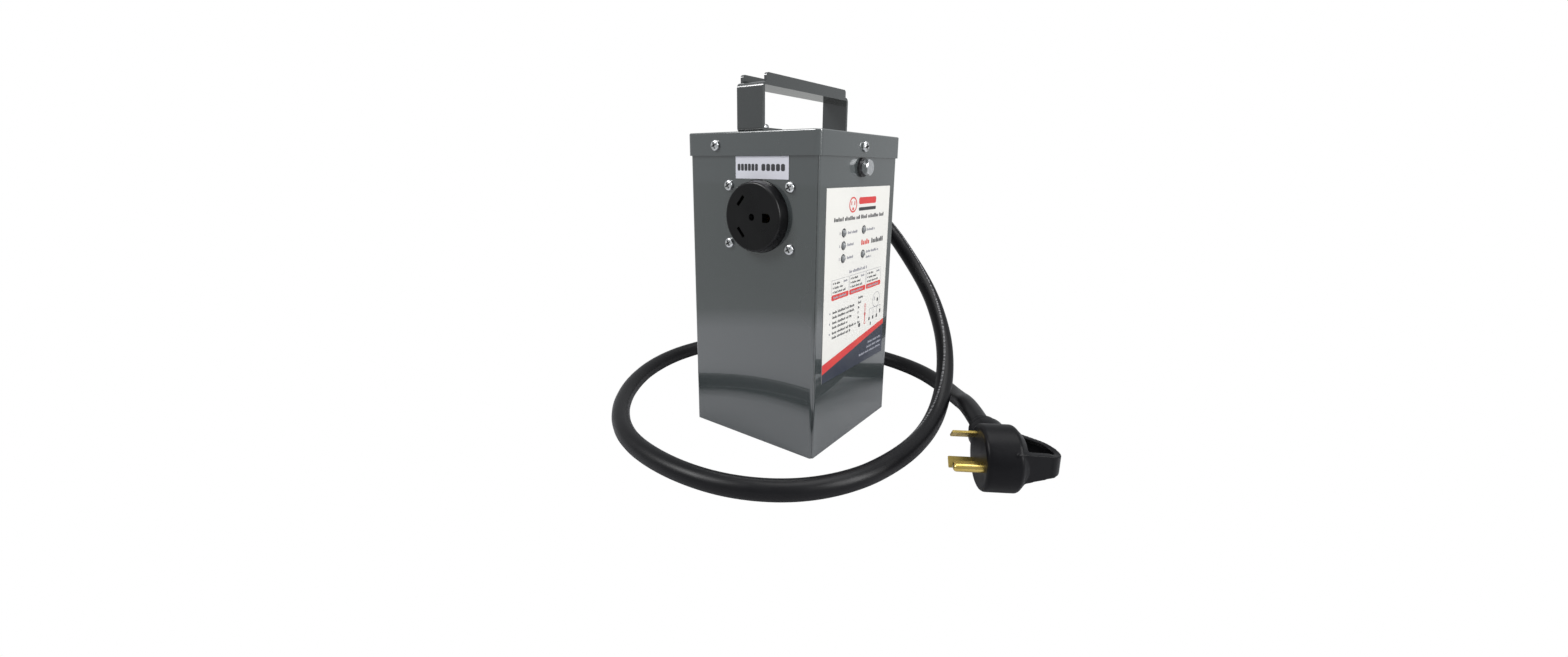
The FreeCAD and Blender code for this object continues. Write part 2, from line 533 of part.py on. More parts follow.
def make_outlet():
    front = OUTLET_PROUD
    joint = -OUTLET_JOINT_Y
    back = -OUTLET_BACK_Y
    flange_back = -SHEET - OUTLET_FLANGE
    half_x = OUTLET_SCREW_DX + OUTLET_MARGIN
    half_y = OUTLET_SCREW_DZ + OUTLET_MARGIN

    face = Part.makeCone(OUTLET_RADIUS, OUTLET_FRONT_RADIUS, OUTLET_PROUD)
    rim = [edge for edge in face.Edges if edge.BoundBox.ZMin > front - 1e-6]
    face = face.makeFillet(1.8, rim)
    face = face.fuse(rod(OUTLET_RADIUS, Vector(0, 0, -SHEET), Z_AXIS, SHEET))
    face = face.fuse(rounded_block(-half_x, half_x, -half_y, half_y, flange_back, -SHEET, 5.0))
    face = face.fuse(rod(OUTLET_REAR_RADIUS, Vector(0, 0, joint), Z_AXIS, flange_back - joint))
    face = face.removeSplitter()

    rear = rod(OUTLET_REAR_RADIUS, Vector(0, 0, back), Z_AXIS, joint - back)
    pocket_top = 4.0
    pocket_floor = back + 4.0
    clip_width = BLADE_WIDTH
    contacts = []
    for radius, angle, lean in pin_places():
        slot = blade_solid(radius, angle, lean, BLADE_WIDTH + 2 * SOCKET_GAP, BLADE_THICK + 2 * SOCKET_GAP,
                           joint, front + 1.0)
        room = (clip_width + 2.0, BLADE_THICK + 4.4)
        pocket = blade_solid(radius, angle, lean, room[0], room[1], joint - 1.0, pocket_top)
        pit = blade_solid(radius, angle, lean, room[0], room[1], pocket_floor, joint + 1.0)
        stem_hole = blade_solid(radius, angle, lean, 4.6, SPRING_SHEET + 0.4, back - 1.0, pocket_floor + 1.0)
        face = face.cut(slot).cut(pocket)
        rear = rear.cut(pit).cut(stem_hole)
        contacts.append(outlet_contact(radius, angle, lean, clip_width, pocket_floor, back, pocket_top))
    face = face.cut(ground_solid(SOCKET_GAP, joint, front + 1.0))
    face = face.cut(ground_solid(2.6, joint - 1.0, pocket_top))
    rear = rear.cut(ground_solid(2.6, pocket_floor, joint + 1.0))
    stem_room = block(GROUND_RADIUS - 2.3, GROUND_RADIUS + 2.3, -0.6, 0.6, back - 1.0, pocket_floor + 1.0)
    rear = rear.cut(stem_room)

    screw_seat = front - 6.5
    face = face.cut(rod(2.7, Vector(0, 0, screw_seat), Z_AXIS, front))
    face = face.cut(rod(1.7, Vector(0, 0, joint - 1.0), Z_AXIS, front - joint))
    rear = rear.cut(rod(1.5, Vector(0, 0, joint - 12.0), Z_AXIS, 13.0))
    corners = [(sx * OUTLET_SCREW_DX, sz * OUTLET_SCREW_DZ) for sx in (-1, 1) for sz in (-1, 1)]
    screw_bore = LID_SCREW[0] + CONTACT_GAP
    for x, y in corners:
        face = face.cut(rod(screw_bore, Vector(x, y, flange_back - 1), Z_AXIS, OUTLET_FLANGE + 2))

    yoke = rounded_block(-half_x, half_x, -half_y, half_y, flange_back - YOKE_SHEET, flange_back, 5.0)
    yoke = yoke.cut(rod(OUTLET_REAR_RADIUS + CONTACT_GAP, Vector(0, 0, flange_back - 5), Z_AXIS, 6.0))
    for x, y in corners:
        yoke = yoke.cut(rod(screw_bore, Vector(x, y, flange_back - 5), Z_AXIS, 6.0))

    ground = ground_contact(pocket_floor, back, pocket_top)
    add("outlet_face", outlet_stand(face))
    add("outlet_yoke", outlet_stand(yoke))
    add("outlet_blade_contacts", *[outlet_stand(contact) for contact in contacts])
    add("outlet_ground_contact", outlet_stand(ground))
    centre = pan_screw((1.5, 2.5, 1.8), screw_seat - joint + 10.0)
    centre.translate(Vector(0, 0, screw_seat))
    add("outlet_centre_screw", outlet_stand(centre))
    terminals = []
    for place in TERMINALS:
        rear = rear.cut(rod(TERMINAL_SCREW[0], place + Z_AXIS * (back - 1.0), Z_AXIS, TERMINAL_HOLE))
        seat = place + Z_AXIS * (back - TERMINAL_SHEET)
        terminals.append(outlet_stand(stand(pan_screw(TERMINAL_SCREW, TERMINAL_HOLE), seat, Z_AXIS * -1)))
    add("outlet_terminal_screws", *terminals)
    add("outlet_rear_housing", outlet_stand(rear))
    outward = Vector(0, -1, 0)
    add("outlet_mounting_screws", *group(pan_screw(LID_SCREW, 13.0), OUTLET_SCREWS, outward, 30.0))
    nut = hex_prism(8.7, 3.2, LID_SCREW[0])
    seats = [place + Y_AXIS * (SHEET + OUTLET_FLANGE + YOKE_SHEET) for place in OUTLET_SCREWS]
    add("outlet_mounting_nuts", *group(nut, seats, Y_AXIS))


def terminal_plate(radius, angle, back):
    """Plate on the rear moulding's back: the wire seats at its outer end, the screw at its inner end."""
    half = TERMINAL_SIZE / 2.0
    plate = block(radius - TERMINAL_STEP - half, radius + half, -half, half, back - TERMINAL_SHEET, back)
    plate = plate.cut(rod(TERMINAL_SCREW[0], Vector(radius - TERMINAL_STEP, 0, back - 5), Z_AXIS, 6.0))
    plate.rotate(Vector(0, 0, 0), Z_AXIS, angle)
    return plate


def outlet_contact(radius, angle, lean, width, floor, back, top):
    """Two spring leaves either side of the blade, their bridge, a stem and the terminal plate."""
    gap = BLADE_THICK + 0.1
    leaf_top = top - 1.0
    clip = blade_solid(radius, angle, lean, width, gap + 2 * SPRING_SHEET, floor + 0.5, leaf_top)
    space = blade_solid(radius, angle, lean, width + 2.0, gap, floor + 0.5 + SPRING_SHEET, leaf_top + 1.0)
    clip = clip.cut(space)
    stem = blade_solid(radius, angle, lean, 4.0, SPRING_SHEET, back - TERMINAL_SHEET / 2.0, floor + 0.8)
    return clip.fuse(stem).fuse(terminal_plate(radius, angle, back)).removeSplitter()


def ground_contact(floor, back, top):
    """Spring sleeve round the ground pin, a stem and the terminal plate."""
    sleeve = ground_solid(0.1 + SPRING_SHEET, floor + 0.5, top - 1.0)
    sleeve = sleeve.cut(ground_solid(0.1, floor + 0.5 + SPRING_SHEET, top + 1.0))
    half = SPRING_SHEET / 2.0
    stem_back = back - TERMINAL_SHEET / 2.0
    stem = block(GROUND_RADIUS - 2.0, GROUND_RADIUS + 2.0, -half, half, stem_back, floor + SPRING_SHEET)
    return sleeve.fuse(stem).fuse(terminal_plate(GROUND_RADIUS, 0.0, back)).removeSplitter()


# ---------------------------------------------------------------- labels and lamps
def make_labels():
    x0, x1, z0, z1 = OUTPUT_LABEL
    plate = block(x0, x1, -HALF_D - LABEL_THICK, -HALF_D, z0, z1)
    add("output_label", plate)
    y0, y1, z0, z1 = STATUS_LABEL
    plate = block(HALF_W, HALF_W + LABEL_THICK, y0, y1, z0, z1)
    for y, z in LAMPS:
        plate = plate.cut(rod(LAMP_RADIUS + CONTACT_GAP, Vector(HALF_W - 1, y, z), X_AXIS, 3.0))
    add("status_label", plate)


def make_lamps():
    """Five domed lamps on a small board behind the label panel."""
    face = LAMP_BOARD_X + BOARD_SHEET
    tip = HALF_W + LABEL_THICK + LAMP_PROUD
    lamps = []
    for y, z in LAMPS:
        stem = rod(LAMP_RADIUS, Vector(face, y, z), X_AXIS, tip - LAMP_RADIUS - face)
        dome = Part.makeSphere(LAMP_RADIUS, Vector(tip - LAMP_RADIUS, y, z))
        collar = rod(LAMP_RADIUS + 0.5, Vector(face, y, z), X_AXIS, 1.0)
        lamps.append(stem.fuse(dome).fuse(collar).removeSplitter())
    add("status_lamps", *lamps)
    y0, y1, z0, z1 = LAMP_BOARD
    board = block(LAMP_BOARD_X, face, y0, y1, z0, z1)
    for place in LAMP_POSTS:
        board = board.cut(rod(BOARD_SCREW[0] + CONTACT_GAP, place - X_AXIS, X_AXIS, 4.0))
    add("lamp_board", board)


# ---------------------------------------------------------------- chassis ground
def make_ground():
    seat = GROUND_BOLT
    washer = ring(GROUND_WASHER_RADIUS, BOLT_RADIUS + 0.15, seat, X_AXIS, GROUND_WASHER)
    add("ground_flat_washer", washer)
    split_start = seat + X_AXIS * GROUND_WASHER
    split = ring(BOLT_RADIUS + 2.3, BOLT_RADIUS + 0.15, split_start, X_AXIS, SPRING_WASHER)
    slit_top = GROUND_BOLT_Z + GROUND_WASHER_RADIUS + 1.5
    split = split.cut(block(split_start.x - 1, split_start.x + 3, -0.5, 0.5, GROUND_BOLT_Z, slit_top))
    add("ground_spring_washer", split)
    head_seat = split_start + X_AXIS * SPRING_WASHER
    bolt = hex_prism(BOLT_FLATS, BOLT_HEAD)
    bolt = bolt.fuse(rod(BOLT_RADIUS, Vector(0, 0, -BOLT_SHANK), Z_AXIS, BOLT_SHANK))
    add("ground_bolt", stand(bolt, head_seat, X_AXIS, BOLT_SPIN))
    inside = Vector(INNER_W, 0, GROUND_BOLT_Z)
    lug = ring(LUG_RADIUS, BOLT_RADIUS + 0.15, inside - X_AXIS * LUG_SHEET, X_AXIS, LUG_SHEET)
    tongue = block(INNER_W - LUG_SHEET, INNER_W, LUG_RADIUS - 1.0, LUG_END_Y,
                   GROUND_BOLT_Z - LUG_TONGUE, GROUND_BOLT_Z + LUG_TONGUE)
    barrel_start = Vector(LUG_X, LUG_END_Y - 1.0, GROUND_BOLT_Z)
    barrel = ring(LUG_BARREL, WIRE_DIAMETER / 2.0, barrel_start, Y_AXIS, LUG_BARREL_LENGTH)
    add("ground_ring_terminal", lug.fuse(tongue).fuse(barrel).removeSplitter())
    nut = hex_prism(BOLT_FLATS, GROUND_NUT, BOLT_RADIUS)
    add("ground_nut", stand(nut, inside - X_AXIS * LUG_SHEET, Vector(-1, 0, 0)))


# ---------------------------------------------------------------- cord gland
def make_gland():
    thread = GLAND_THREAD
    cap_start = HALF_D + GLAND_HEX
    bore_start = GLAND - Y_AXIS * (GLAND_STEM + 1.0)
    body = stand(hex_prism(GLAND_FLATS, GLAND_HEX), GLAND, Y_AXIS)
    body = body.fuse(rod(thread, GLAND - Y_AXIS * GLAND_STEM, Y_AXIS, GLAND_STEM + GLAND_COLLAR))
    body = body.cut(rod(CORD_RADIUS + 2 * CONTACT_GAP, bore_start, Y_AXIS, 4 * GLAND_STEM))
    seal_seat = GLAND + Y_AXIS * GLAND_SEAL_START
    seal_radius = thread - 1.0
    body = body.cut(rod(seal_radius, seal_seat, Y_AXIS, GLAND_SEAL_LENGTH + GLAND_SEAL_ROOM))
    add("gland_body", body)
    locknut = hex_prism(GLAND_LOCKNUT_FLATS, GLAND_LOCKNUT, thread)
    add("gland_locknut", stand(locknut, Vector(GLAND_X, INNER_D, GLAND_Z), Vector(0, -1, 0)))
    add("gland_seal", ring(seal_radius, CORD_RADIUS, seal_seat, Y_AXIS, GLAND_SEAL_LENGTH))
    cap_length = GLAND_END - cap_start
    cap_radius = thread + GLAND_CAP_WALL
    cap = rod(cap_radius, Vector(0, 0, 0), Z_AXIS, cap_length)
    lip = [edge for edge in cap.Edges if edge.BoundBox.ZMin > cap_length - 1e-6]
    cap = cap.makeFillet(GLAND_CAP_ROUND, lip)
    groove_ring = cap_radius + GLAND_GROOVE_RADIUS / 2.0
    for step in range(GLAND_GROOVES):
        angle = 2.0 * math.pi * step / GLAND_GROOVES
        place = Vector(groove_ring * math.cos(angle), groove_ring * math.sin(angle), 0)
        cap = cap.cut(rod(GLAND_GROOVE_RADIUS, place, Z_AXIS, cap_length - GLAND_CAP_ROUND - 1.5))
    cap = stand(cap, Vector(GLAND_X, cap_start, GLAND_Z), Y_AXIS)
    thread_room = GLAND_COLLAR - GLAND_HEX + GLAND_CAP_ROOM + 1.0
    cap = cap.cut(rod(thread, Vector(GLAND_X, cap_start - 1.0, GLAND_Z), Y_AXIS, thread_room))
    cap = cap.cut(rod(CORD_RADIUS + CORD_BORE_GAP, GLAND, Y_AXIS, 4 * GLAND_STEM))
    add("gland_cap_nut", cap)
    tail = rod(CORD_RADIUS, Vector(GLAND_X, TAIL_END, GLAND_Z), Y_AXIS, GLAND_END - TAIL_END)
    add("cord_tail", tail)


# ---------------------------------------------------------------- plug and cord
PLUG_AXIS = Vector(math.cos(math.radians(PLUG_HEADING)), math.sin(math.radians(PLUG_HEADING)), 0)
PLUG_SIDE = Vector(math.sin(math.radians(PLUG_HEADING)), -math.cos(math.radians(PLUG_HEADING)), 0)
BOOT_ROOT = Vector(PLUG_FACE[0], PLUG_FACE[1], PLUG_RADIUS) - PLUG_AXIS * BOOT_SETBACK
BOOT_END = BOOT_ROOT + PLUG_SIDE * (PLUG_RADIUS + BOOT_LENGTH)
LAST_RUN = 36.0

# The way that the cord lies: out of the gland, down in a wide curve, round the box on the ground
# and back to the plug.
CORD_ROUTE = [
    Vector(GLAND_X, GLAND_END, GLAND_Z),
    Vector(GLAND_X, GLAND_END + 36.0, GLAND_Z),
    Vector(-20, 163, 189),
    Vector(4, 184, 160),
    Vector(34, 184, 124),
    Vector(62, 167, 98),
    Vector(83, 146, 76),
    Vector(101, 120, 55),
    Vector(114, 90, 32),
    Vector(122, 54, 14),
    Vector(126, 10, CORD_RADIUS),
    Vector(124, -36, CORD_RADIUS),
    Vector(112, -82, CORD_RADIUS),
    Vector(84, -120, CORD_RADIUS),
    Vector(40, -144, CORD_RADIUS),
    Vector(-14, -150, CORD_RADIUS),
    Vector(-68, -141, CORD_RADIUS),
    Vector(-114, -114, CORD_RADIUS),
    Vector(-152, -74, CORD_RADIUS),
    Vector(-180, -26, CORD_RADIUS),
    Vector(-193, 28, CORD_RADIUS),
    Vector(-186, 82, CORD_RADIUS),
    Vector(-156, 126, CORD_RADIUS),
    Vector(-108, 158, CORD_RADIUS),
    Vector(-52, 173, CORD_RADIUS),
    Vector(6, 173, CORD_RADIUS),
    Vector(58, 160, CORD_RADIUS),
    Vector(99, 132, CORD_RADIUS),
    Vector(126, 99, 12),
    BOOT_END + PLUG_SIDE * LAST_RUN,
    BOOT_END,
]


def plug_stand(shape):
    """Move a shape drawn along +Z, face at zero, to the plug; its +Z is the way the blades point."""
    face = Vector(PLUG_FACE[0], PLUG_FACE[1], PLUG_RADIUS)
    return set_down(shape, PLUG_SIDE * -1, Z_AXIS, PLUG_AXIS, face)


def loop_handle():
    """Flat band that leaves both sides of the body and closes in a round tip behind it."""
    length = PLUG_BODY + LOOP_REACH
    outline = band_outline(LOOP_START, length, LOOP_ROOT_X, LOOP_TIP)
    opening = band_outline(LOOP_START, length - LOOP_WALL, LOOP_ROOT_X - LOOP_WALL, LOOP_TIP - LOOP_WALL)
    outer = Part.Face(outline).extrude(Vector(0, 2 * PLUG_RADIUS, 0))
    hole = Part.Face(opening).extrude(Vector(0, 2 * PLUG_RADIUS, 0))
    outer.translate(Vector(0, -PLUG_RADIUS, 0))
    hole.translate(Vector(0, -PLUG_RADIUS, 0))
    side = Part.Face(Part.makePolygon([
        Vector(-PLUG_RADIUS, LOOP_TOP[0], -LOOP_START),
        Vector(-PLUG_RADIUS, LOOP_TOP[0], -LOOP_SHOULDER),
        Vector(-PLUG_RADIUS, LOOP_TOP[1], -length),
        Vector(-PLUG_RADIUS, -LOOP_UNDER[1], -length),
        Vector(-PLUG_RADIUS, -LOOP_UNDER[0], -LOOP_SHOULDER),
        Vector(-PLUG_RADIUS, -LOOP_UNDER[0], -LOOP_START),
        Vector(-PLUG_RADIUS, LOOP_TOP[0], -LOOP_START),
    ]))
    outer = outer.common(side.extrude(Vector(2 * PLUG_RADIUS, 0, 0)))
    outer = outer.common(rod(PLUG_RADIUS, Vector(0, 0, -length), Z_AXIS, length))
    return outer, hole


def band_outline(start, length, root_half, tip):
    """Closed outline in the XZ plane, Z running back from the face, with a round tip."""
    tip_centre = length - tip
    lean = math.atan2(root_half - tip, tip_centre - start) * 0.5
    side_x = tip * math.cos(lean)
    side_z = tip_centre + tip * math.sin(lean)
    left_root = Vector(-root_half, 0, -start)
    right_root = Vector(root_half, 0, -start)
    left_tip = Vector(-side_x, 0, -side_z)
    right_tip = Vector(side_x, 0, -side_z)
    arc = Part.Arc(right_tip, Vector(0, 0, -length), left_tip).toShape()
    return Part.Wire([
        Part.LineSegment(left_root, right_root).toShape(),
        Part.LineSegment(right_root, right_tip).toShape(),
        arc,
        Part.LineSegment(left_tip, left_root).toShape(),
    ])


def make_plug():
    body = rod(PLUG_RADIUS, Vector(0, 0, -PLUG_BODY), Z_AXIS, PLUG_BODY)
    front = [edge for edge in body.Edges if edge.BoundBox.ZMin > -1e-6]
    body = body.makeFillet(PLUG_EDGE, front)
    rear = [edge for edge in body.Edges if edge.BoundBox.ZMax < -PLUG_BODY + 1e-6]
    body = body.makeChamfer(PLUG_SHOULDER, rear)
    band, hole = loop_handle()
    hole = hole.common(rod(2 * PLUG_RADIUS, Vector(0, 0, -PLUG_BODY - LOOP_REACH), Z_AXIS, LOOP_REACH))
    body = body.fuse(band).cut(hole).removeSplitter()

    blades = []
    for radius, angle, lean in pin_places():
        blade = blade_solid(radius, angle, lean, BLADE_WIDTH, BLADE_THICK, -PIN_DEPTH, BLADE_LENGTH)
        nose = [edge for edge in blade.Edges if edge.BoundBox.ZMin > BLADE_LENGTH - 1e-6]
        blade = blade.makeChamfer(0.5, nose)
        blade.rotate(Vector(0, 0, 0), Z_AXIS, PLUG_ROLL)
        blades.append(blade)
    ground = ground_solid(0.0, -PIN_DEPTH, GROUND_LENGTH)
    tip = [edge for edge in ground.Edges if edge.BoundBox.ZMin > GROUND_LENGTH - 1e-6]
    ground = ground.makeFillet(GROUND_TIP, tip)
    groove = GROUND_GROOVE / 2.0
    hollow = block(0, GROUND_RADIUS, -groove, groove, GROUND_ROOT, GROUND_LENGTH - GROUND_NOSE)
    ground = ground.cut(hollow)
    ground.rotate(Vector(0, 0, 0), Z_AXIS, PLUG_ROLL)
    for pin in blades + [ground]:
        body = body.cut(pin)
    boot = boot_solid()
    body = body.cut(boot)
    add("plug_body", plug_stand(body))
    add("plug_blades", *[plug_stand(blade) for blade in blades])
    add("plug_ground_pin", plug_stand(ground))
    add("plug_strain_relief", plug_stand(boot))


def boot_solid():
    """Ribbed boot out of the plug's far side, drawn in the plug's own frame."""
    core_radius = BOOT_STEPS[-1][0] - BOOT_NECK
    boot = rod(core_radius, Vector(0, 0, -BOOT_ROOT_DEPTH), Z_AXIS, BOOT_ROOT_DEPTH + BOOT_LENGTH)
    start = -BOOT_ROOT_DEPTH
    for radius, end in BOOT_STEPS:
        knuckle = rod(radius, Vector(0, 0, start), Z_AXIS, end - start)
        rims = [edge for edge in knuckle.Edges if edge.Closed]
        boot = boot.fuse(knuckle.makeFillet(BOOT_EASE, rims))
        start = end
    for radius, end in BOOT_STEPS[:-1]:
        neck = ring(radius + 1.0, radius - BOOT_STEPS[0][0] + BOOT_STEPS[1][0] - BOOT_NECK,
                    Vector(0, 0, end - BOOT_NECK_WIDTH / 2.0), Z_AXIS, BOOT_NECK_WIDTH)
        boot = boot.cut(neck)
    return stand(boot.removeSplitter(), Vector(-PLUG_RADIUS, 0, -BOOT_SETBACK), Vector(-1, 0, 0))


def make_cord():
    add("power_cord", tube_along(CORD_ROUTE, CORD_DIAMETER, "cord"))


# ---------------------------------------------------------------- transformer
def frame_ring(half_x, half_y, inner_x, inner_y, z0, z1, radius):
    """Rounded rectangular ring about the core's middle leg."""
    outer = rounded_block(-half_x, half_x, -half_y, half_y, z0, z1, radius)
    return outer.cut(block(-inner_x, inner_x, -inner_y, inner_y, z0 - 1, z1 + 1))


def make_transformer():
    half_w = CORE_WIDTH / 2.0
    half_s = CORE_STACK / 2.0
    core = block(-half_w, half_w, -half_s, half_s, CORE_Z, CORE_TOP)
    for side in (-1, 1):
        x0 = min(side * WINDOW_X[0], side * WINDOW_X[1])
        x1 = max(side * WINDOW_X[0], side * WINDOW_X[1])
        core = core.cut(block(x0, x1, -half_s - 1, half_s + 1, WINDOW_Z[0], WINDOW_Z[1]))
    bolt_places = [Vector(sx * CORE_BOLT_X, 0, z) for sx in (-1, 1) for z in CORE_BOLT_Z]
    for place in bolt_places:
        core = core.cut(rod(CORE_SCREW[0] + CONTACT_GAP, place - Y_AXIS * 40, Y_AXIS, 80.0))
    add("transformer_core", core)

    leg_x = WINDOW_X[0]
    tube_x = leg_x + COIL_GAP + 1.3
    tube_y = half_s + COIL_GAP + 1.3
    end_x = WINDOW_X[1] - 0.4
    end_y = half_s + WINDOW_X[1] - WINDOW_X[0] - 0.4
    z0 = WINDOW_Z[0] + COIL_GAP
    z1 = WINDOW_Z[1] - COIL_GAP
    sheet = 1.5
    inner_x = leg_x + COIL_GAP
    inner_y = half_s + COIL_GAP
    bobbin = frame_ring(tube_x, tube_y, inner_x, inner_y, z0, z1, 1.2)
    bobbin = bobbin.fuse(frame_ring(end_x, end_y, inner_x, inner_y, z0, z0 + sheet, 3.0))
    bobbin = bobbin.fuse(frame_ring(end_x, end_y, inner_x, inner_y, z1 - sheet, z1, 3.0))
    add("winding_bobbin", bobbin.removeSplitter())
    coil_z0 = z0 + sheet
    coil_z1 = z1 - sheet
    mid = 8.0
    main = frame_ring(tube_x + mid, tube_y + mid, tube_x + 0.05, tube_y + 0.05, coil_z0, coil_z1, 5.0)
    add("main_winding", main)
    sleeve = rounded_block(-tube_x - mid - 0.3, tube_x + mid + 0.3, -tube_y - mid - 0.3, tube_y + mid + 0.3,
                           coil_z0, coil_z1, 5.0)
    boost = rounded_block(-end_x + 0.6, end_x - 0.6, -end_y + 0.6, end_y - 0.6, coil_z0, coil_z1, 7.0)
    add("boost_winding", boost.cut(sleeve))

    frames = []
    for side in (-1, 1):
        y_in = side * half_s
        y_out = side * (half_s + BRACKET_SHEET)
        y_toe = side * (half_s + BRACKET_SHEET + FOOT_REACH)
        wall = block(-half_w, half_w, min(y_in, y_out), max(y_in, y_out), FLOOR_TOP, CORE_TOP)
        reach = end_x + FRAME_GAP
        wall = wall.cut(block(-reach, reach, min(y_in, y_out) - 1, max(y_in, y_out) + 1,
                              WINDOW_Z[0] - FRAME_GAP, WINDOW_Z[1] + FRAME_GAP))
        foot = block(-half_w, half_w, min(y_in, y_toe), max(y_in, y_toe), FLOOR_TOP, FLOOR_TOP + BRACKET_SHEET)
        frame = wall.fuse(foot).removeSplitter()
        for place in bolt_places:
            frame = frame.cut(rod(CORE_SCREW[0] + CONTACT_GAP, place - Y_AXIS * 40, Y_AXIS, 80.0))
        for place in FOOT_STUDS:
            frame = frame.cut(rod(CORE_SCREW[0] + CONTACT_GAP, place - Z_AXIS * 6, Z_AXIS, 8.0))
        frames.append(frame)
    add("core_frames", *frames)
    grip = CORE_STACK + 2 * BRACKET_SHEET
    seats = [place - Y_AXIS * (grip / 2.0) for place in bolt_places]
    shank = grip + CORE_NUT[1] + 3.0
    bolt = hex_prism(CORE_NUT[0], CORE_HEAD).fuse(rod(CORE_SCREW[0], Vector(0, 0, -shank), Z_AXIS, shank))
    add("core_bolts", *group(bolt, seats, Vector(0, -1, 0)))
    far = [place + Y_AXIS * (grip / 2.0) for place in bolt_places]
    nut = hex_prism(*CORE_NUT, CORE_SCREW[0])
    stud = rod(STUD_HEAD, Vector(0, 0, 0), Z_AXIS, SHEET)
    stud = stud.fuse(rod(CORE_SCREW[0], Vector(0, 0, 0), Z_AXIS, STUD_LENGTH))
    roots = [Vector(place.x, place.y, 0) for place in FOOT_STUDS]
    add("base_studs", *group(stud, roots, Z_AXIS))
    add("core_nuts", *group(nut, far, Y_AXIS), *group(nut, FOOT_STUDS, Z_AXIS))


# ---------------------------------------------------------------- control board
def make_board():
    board = block(BOARD_X, BOARD_FACE, -BOARD_Y, BOARD_Y, BOARD_Z[0], BOARD_Z[1])
    for place in BOARD_POSTS:
        board = board.cut(rod(BOARD_SCREW[0] + CONTACT_GAP, place - X_AXIS * 5, X_AXIS, 8.0))
    add("control_board", board)
    post = hex_prism(6.0, INNER_W + BOARD_X, BOARD_SCREW[0])
    backs = [place - X_AXIS * BOARD_SHEET for place in BOARD_POSTS]
    lamp_post = hex_prism(6.0, INNER_W - LAMP_BOARD_X - BOARD_SHEET, BOARD_SCREW[0])
    lamp_backs = [place + X_AXIS * BOARD_SHEET for place in LAMP_POSTS]
    inward = X_AXIS * -1
    add("board_standoffs", *group(post, backs, inward), *group(lamp_post, lamp_backs, X_AXIS))
    screw = pan_screw(BOARD_SCREW, 7.0)
    add("board_screws", *group(screw, BOARD_POSTS, X_AXIS), *group(screw, LAMP_POSTS, inward))

    discs = []
    for y in DISC_Y:
        centre = Vector(BOARD_FACE + DISC_STAND, y, RELAY_Z)
        disc = rod(DISC_RADIUS, centre - Y_AXIS * (DISC_THICK / 2.0), Y_AXIS, DISC_THICK)
        disc = disc.makeFillet(DISC_THICK * 0.3, disc.Edges)
        for side in (-1, 1):
            foot = Vector(BOARD_FACE, y, RELAY_Z + side * DISC_LEAD_GAP / 2.0)
            disc = disc.fuse(rod(DISC_LEAD, foot, X_AXIS, DISC_STAND / 2.0))
        discs.append(disc.removeSplitter())
    add("surge_varistors", *discs)
    fuse_x = BOARD_FACE + FUSE_STAND
    half = FUSE_LENGTH / 2.0
    fuse = rod(2.0, Vector(fuse_x, FUSE_Y, FUSE_Z - half), Z_AXIS, FUSE_LENGTH)
    for side in (-1, 1):
        near = FUSE_Z + side * (half - 0.5)
        far = FUSE_Z + side * (half + 3.0)
        lead = block(fuse_x - 0.4, fuse_x + 0.4, FUSE_Y - 0.4, FUSE_Y + 0.4, min(near, far), max(near, far))
        leg = block(BOARD_FACE, fuse_x + 0.4, FUSE_Y - 0.4, FUSE_Y + 0.4, far - 0.4, far + 0.4)
        fuse = fuse.fuse(lead).fuse(leg)
    add("thermal_fuse", fuse.removeSplitter())
    low, high = TERMINAL_BLOCK_Z
    half = TERMINAL_BLOCK_HALF
    terminal = block(BOARD_FACE, BOARD_FACE + TERMINAL_BLOCK_DEEP, -half, half, low, high)
    for side in (-1, 1):
        mouth = Vector(TERMINAL_X, side * TERMINAL_PITCH / 2.0, high - TERMINAL_BORE_DEEP)
        terminal = terminal.cut(rod(TERMINAL_BORE, mouth, Z_AXIS, TERMINAL_BORE_DEEP + 1.0))
    add("terminal_block", terminal)


